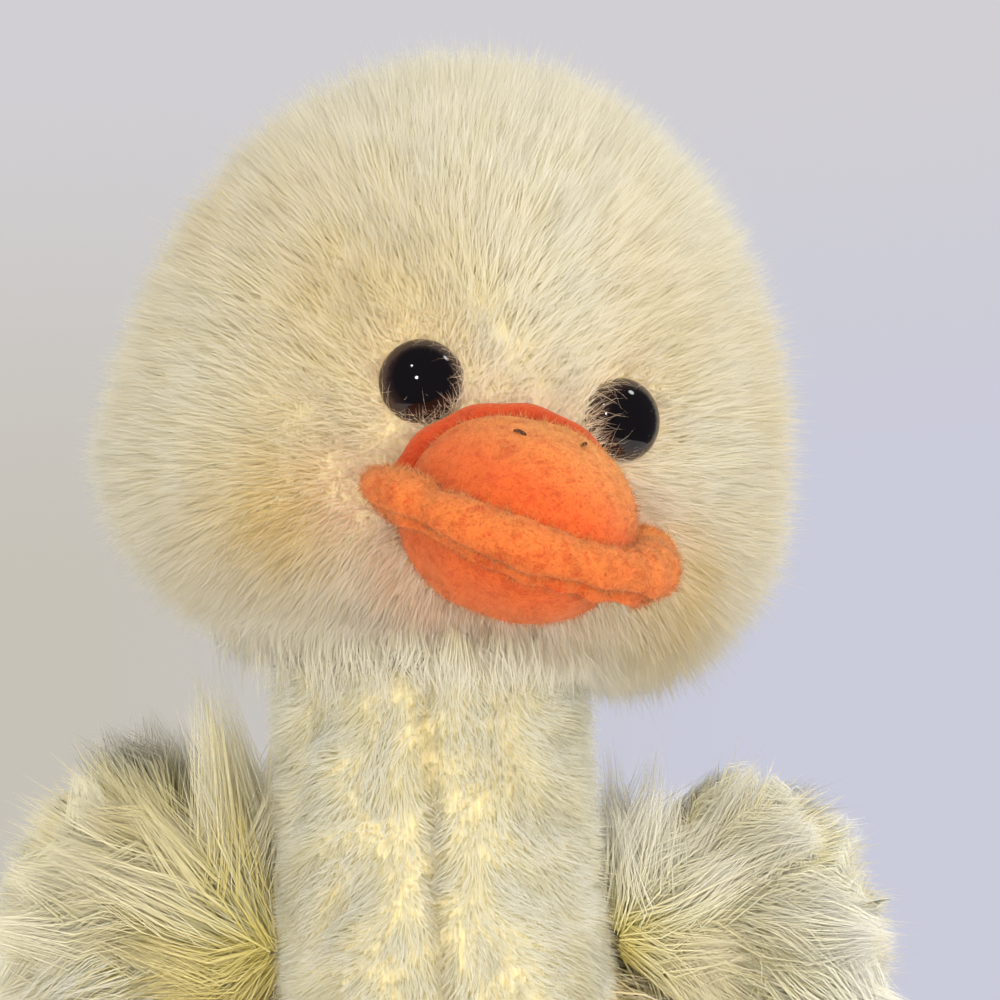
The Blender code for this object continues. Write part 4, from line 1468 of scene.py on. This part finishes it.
def reachAt(side, off):
    # The reach for the direction of each way from the middle of the fan
    over = np.degrees(np.arctan2(off[..., 2], sides[side] * off[..., 0]))
    return np.interp(over, *np.transpose(wing["reaches"][side]))


def settledPad(side, fan):
    # The pad under the locks: drawn in, so that each point lies inside that reach
    shape = wingShape(side, wing["pile"], wing["facePile"])

    def settled(around, along):
        off = shape(around, along) - fan
        share = np.hypot(off[..., 0], off[..., 2]) / (reachAt(side, off) - 0.75 * wing["pile"])
        flat = (1 + share**8) ** -0.125
        return fan + off * np.stack([flat, np.ones_like(flat), flat], -1)

    return settled


def makeFan(side, sign, fan, seed):
    # Locks that start where the wing is sewn on and spread like a hand: the upright ones go the whole reach
    # and fill the corner between the wing and the neck
    rng = np.random.default_rng(seed)
    locks = wingFan["locks"]
    body = "wing_" + side
    for face, front in (("front", -1.0), ("back", 1.0)):
        share = (np.arange(locks) + rng.uniform(-0.4, 0.4, locks)) / (locks - 1)
        turn = np.radians(wingFan["from"] + (wingFan["to"] - wingFan["from"]) * share)
        heading = np.stack([sign * np.cos(turn), 0.12 * front + 0 * turn, np.sin(turn)], 1)
        roots = fan + heading * wingFan["out"] * (0.7 + 0.6 * rng.random((locks, 1)))
        roots[:, 1] += front * (0.002 + 0.007 * rng.random(locks))
        # Those behind are shaded from above, since only their tips are seen from in front
        facing = unit(np.array((0.2 * sign, min(front, 0.3), 0.2 if front < 0 else 0.9)) + 0 * roots)
        upright = np.clip((np.sin(turn) - 0.25) / 0.30, 0, 1)
        full = 0.88 * reachAt(side, heading) - wingFan["out"]
        lengths = wingFan["length"] * (1 - upright) + full * upright
        golden = wingFan["rootGold"][side] - 0.35 * upright
        name = body + "_fan_" + face
        sizes = {**wingFan, "gold": wingFan["gold"][side]}
        lockCoat(name, roots, facing, heading, sizes, seed + 1, body, shag, lengths, golden)


def makeWings():
    outwards = np.array((1, 0.6, 1))
    for side, sign in sides.items():
        body = "wing_" + side
        fan = np.array(joints[body + "_swing"]["pos_m"]) + np.array((sign, 1, 1)) * wing["fanFrom"]
        shape = settledPad(side, fan)
        pad = addSurface(body + "_pad", shape, 64, 48, body, backing, (body,))
        seed = wingLocks["seeds"][side]
        roots, facing = scatter(shape, wingLocks["locks"], seed)
        heading = unit((roots - fan) * outwards)
        # A lock reaches as far as the wing's own outline lies in its direction, within its reach
        grid = np.meshgrid(np.arange(48) / 48, np.linspace(0, 1, 32))
        outline = wingShape(side)(*grid).reshape(-1, 3) - fan
        ahead = unit(heading[:, ::2]) @ outline[:, ::2].T
        ahead = np.where(ahead > 0.99 * np.linalg.norm(outline[:, ::2], axis=1), ahead, 0).max(1)
        ahead = np.minimum(ahead, reachAt(side, heading))
        away = np.linalg.norm((roots - fan)[:, ::2], axis=1)
        straight = np.clip((facing * heading).sum(1), 0, 1)
        lengths = (ahead - away - 0.5 * wingLocks["girth"]) / (0.85 + 0.25 * straight)
        lengths = np.clip(lengths, wingLocks["shortest"], wingLocks["length"])
        golden = 0.6 * np.exp(-((away / wingLocks["goldReach"][side]) ** 2))
        sizes = {**wingLocks, "gold": wingLocks["gold"][side]}
        behind = facing[:, 1:2] > 0
        facing = unit(facing + np.where(behind, (0, -0.3, 0.5), (0, -0.9, 0)))
        lockCoat(body + "_locks", roots, facing, heading, sizes, seed, body, shag, lengths, golden)
        makeFan(side, sign, fan, seed + 5)
        spots, facing = scatter(shape, wingUnder["count"], seed + 1)
        flow = unit((spots - fan) * outwards)
        marks = goldOnly(np.full(len(spots), wingUnder["gold"]))
        short = np.where(facing[:, 1] > 0.1, wingUnder["behind"], 1.0)
        name = body + "_underfur"
        coat(name, spots, facing, flow, wingUnder, seed + 2, body, shag, short, marks)


makeWings()
print("wings ready")


# Feet and tail: pads that grow out of a sewn edge

foot = {
    "reach": 0.068,
    "halfWidth": 0.031,
    "top": 0.0085,
    "bottom": 0.0046,
    "toe": 0.0050,
    "fibres": 4000,
    "groove": 0.0022,  # the lines between the toes: how deep, and how wide
    "grooveWidth": 0.0016,
    "shares": (
        (0.00, 0.38, 0.28),
        (0.05, 0.40, 0.31),
        (0.11, 0.43, 0.34),
        (0.24, 0.56, 0.56),
        (0.42, 0.74, 0.88),
        (0.60, 0.92, 1.00),
        (0.76, 1.00, 1.00),
        (0.88, 0.90, 0.86),
        (0.96, 0.62, 0.56),
        (1.00, 0.00, 0.00),
    ),
}
tail = {
    "reach": 0.046,
    "halfWidth": 0.024,
    "top": 0.010,
    "bottom": 0.010,
    "toe": 0.0,
    "rise": 36.0,
    "pile": 0.004,
    "fibres": 4500,
    "fibreShare": 0.72,  # of the body's pile, in length
    "shares": (
        (0.00, 0.68, 0.30),
        (0.12, 0.76, 0.37),
        (0.27, 0.93, 0.72),
        (0.44, 1.00, 1.00),
        (0.62, 0.90, 0.96),
        (0.80, 0.62, 0.72),
        (0.93, 0.32, 0.40),
        (1.00, 0.00, 0.00),
    ),
}


def sewnPad(sizes, place, grow=0.0):
    # Ovals carried forwards from the sewn edge, the front pushed out into toes by a cosine across the pad
    def shape(around, along):
        share = 0.5 - 0.5 * np.cos(math.pi * along)
        row = curveThrough(sizes["shares"], share)
        close = np.clip(np.sin(math.pi * along) / 0.15, 0, 1)
        low = np.sqrt(np.clip(along / 0.06, 0, 1))
        turn = around * fullTurn
        wide = (sizes["halfWidth"] * row[..., 0] + grow * close) * low * np.cos(turn)
        bow = np.abs(np.sin(turn)) ** 0.8 * np.sign(np.sin(turn))
        half = np.where(np.sin(turn) > 0, sizes["top"], sizes["bottom"]) + grow * close
        lobe = sizes["toe"] * share**3 * np.cos(3 * math.pi * wide / sizes["halfWidth"])
        groove = 0.0
        if sizes["toe"]:
            lines = np.exp(-(((np.abs(wide) - sizes["halfWidth"] / 3) / sizes["grooveWidth"]) ** 2))
            groove = lines * np.clip((share - 0.35) * 3, 0, 1) * sizes["groove"]
        thick = (half * row[..., 1] - groove * close) * low * bow
        return place(np.stack([wide, -sizes["reach"] * share - lobe, thick], -1))

    return shape


def footPlace(side):
    joint = joints["foot_" + side + "_lift"]
    axis, pivot = np.array(joint["axis"]), np.array(joint["pos_m"])
    turn = sides[side] * math.degrees(math.atan2(abs(axis[1]), abs(axis[0])))
    return lambda points: points @ spin(turn, "Z").T + pivot


def tailPlace():
    pivot = np.array(joints["tail_lift"]["pos_m"])
    turned = spin(180.0, "Z") @ spin(-tail["rise"], "X")
    return lambda points: points @ turned.T + pivot


def makeFeet():
    for side in sides:
        body = "foot_" + side
        shape = sewnPad(foot, footPlace(side))
        pad = addSurface(body + "_pad", shape, 96, 64, body, fleece, (body,))
        spots, facing = scatter(shape, foot["fibres"], 95)
        flow = slopes(spots, waveSet(96, 0.008))
        coat(body + "_fuzz", spots, facing, flow, billFuzz, 97, body, fleeceFuzz)


def makeTail():
    shape = sewnPad(tail, tailPlace(), -tail["pile"])
    pad = addSurface("tail_pad", shape, 48, 36, "tail", backing, ("tail",))
    spots, facing = scatter(shape, tail["fibres"], 98)
    flow = unit(spots - np.array(joints["tail_lift"]["pos_m"]))
    marks, share = goldOnly(np.full(len(spots), 0.25)), tail["fibreShare"]
    coat("tail_fur", spots, facing, flow, bodyCoat, 99, "tail", plush, share, marks)


makeFeet()
makeTail()
print("feet and tail ready")
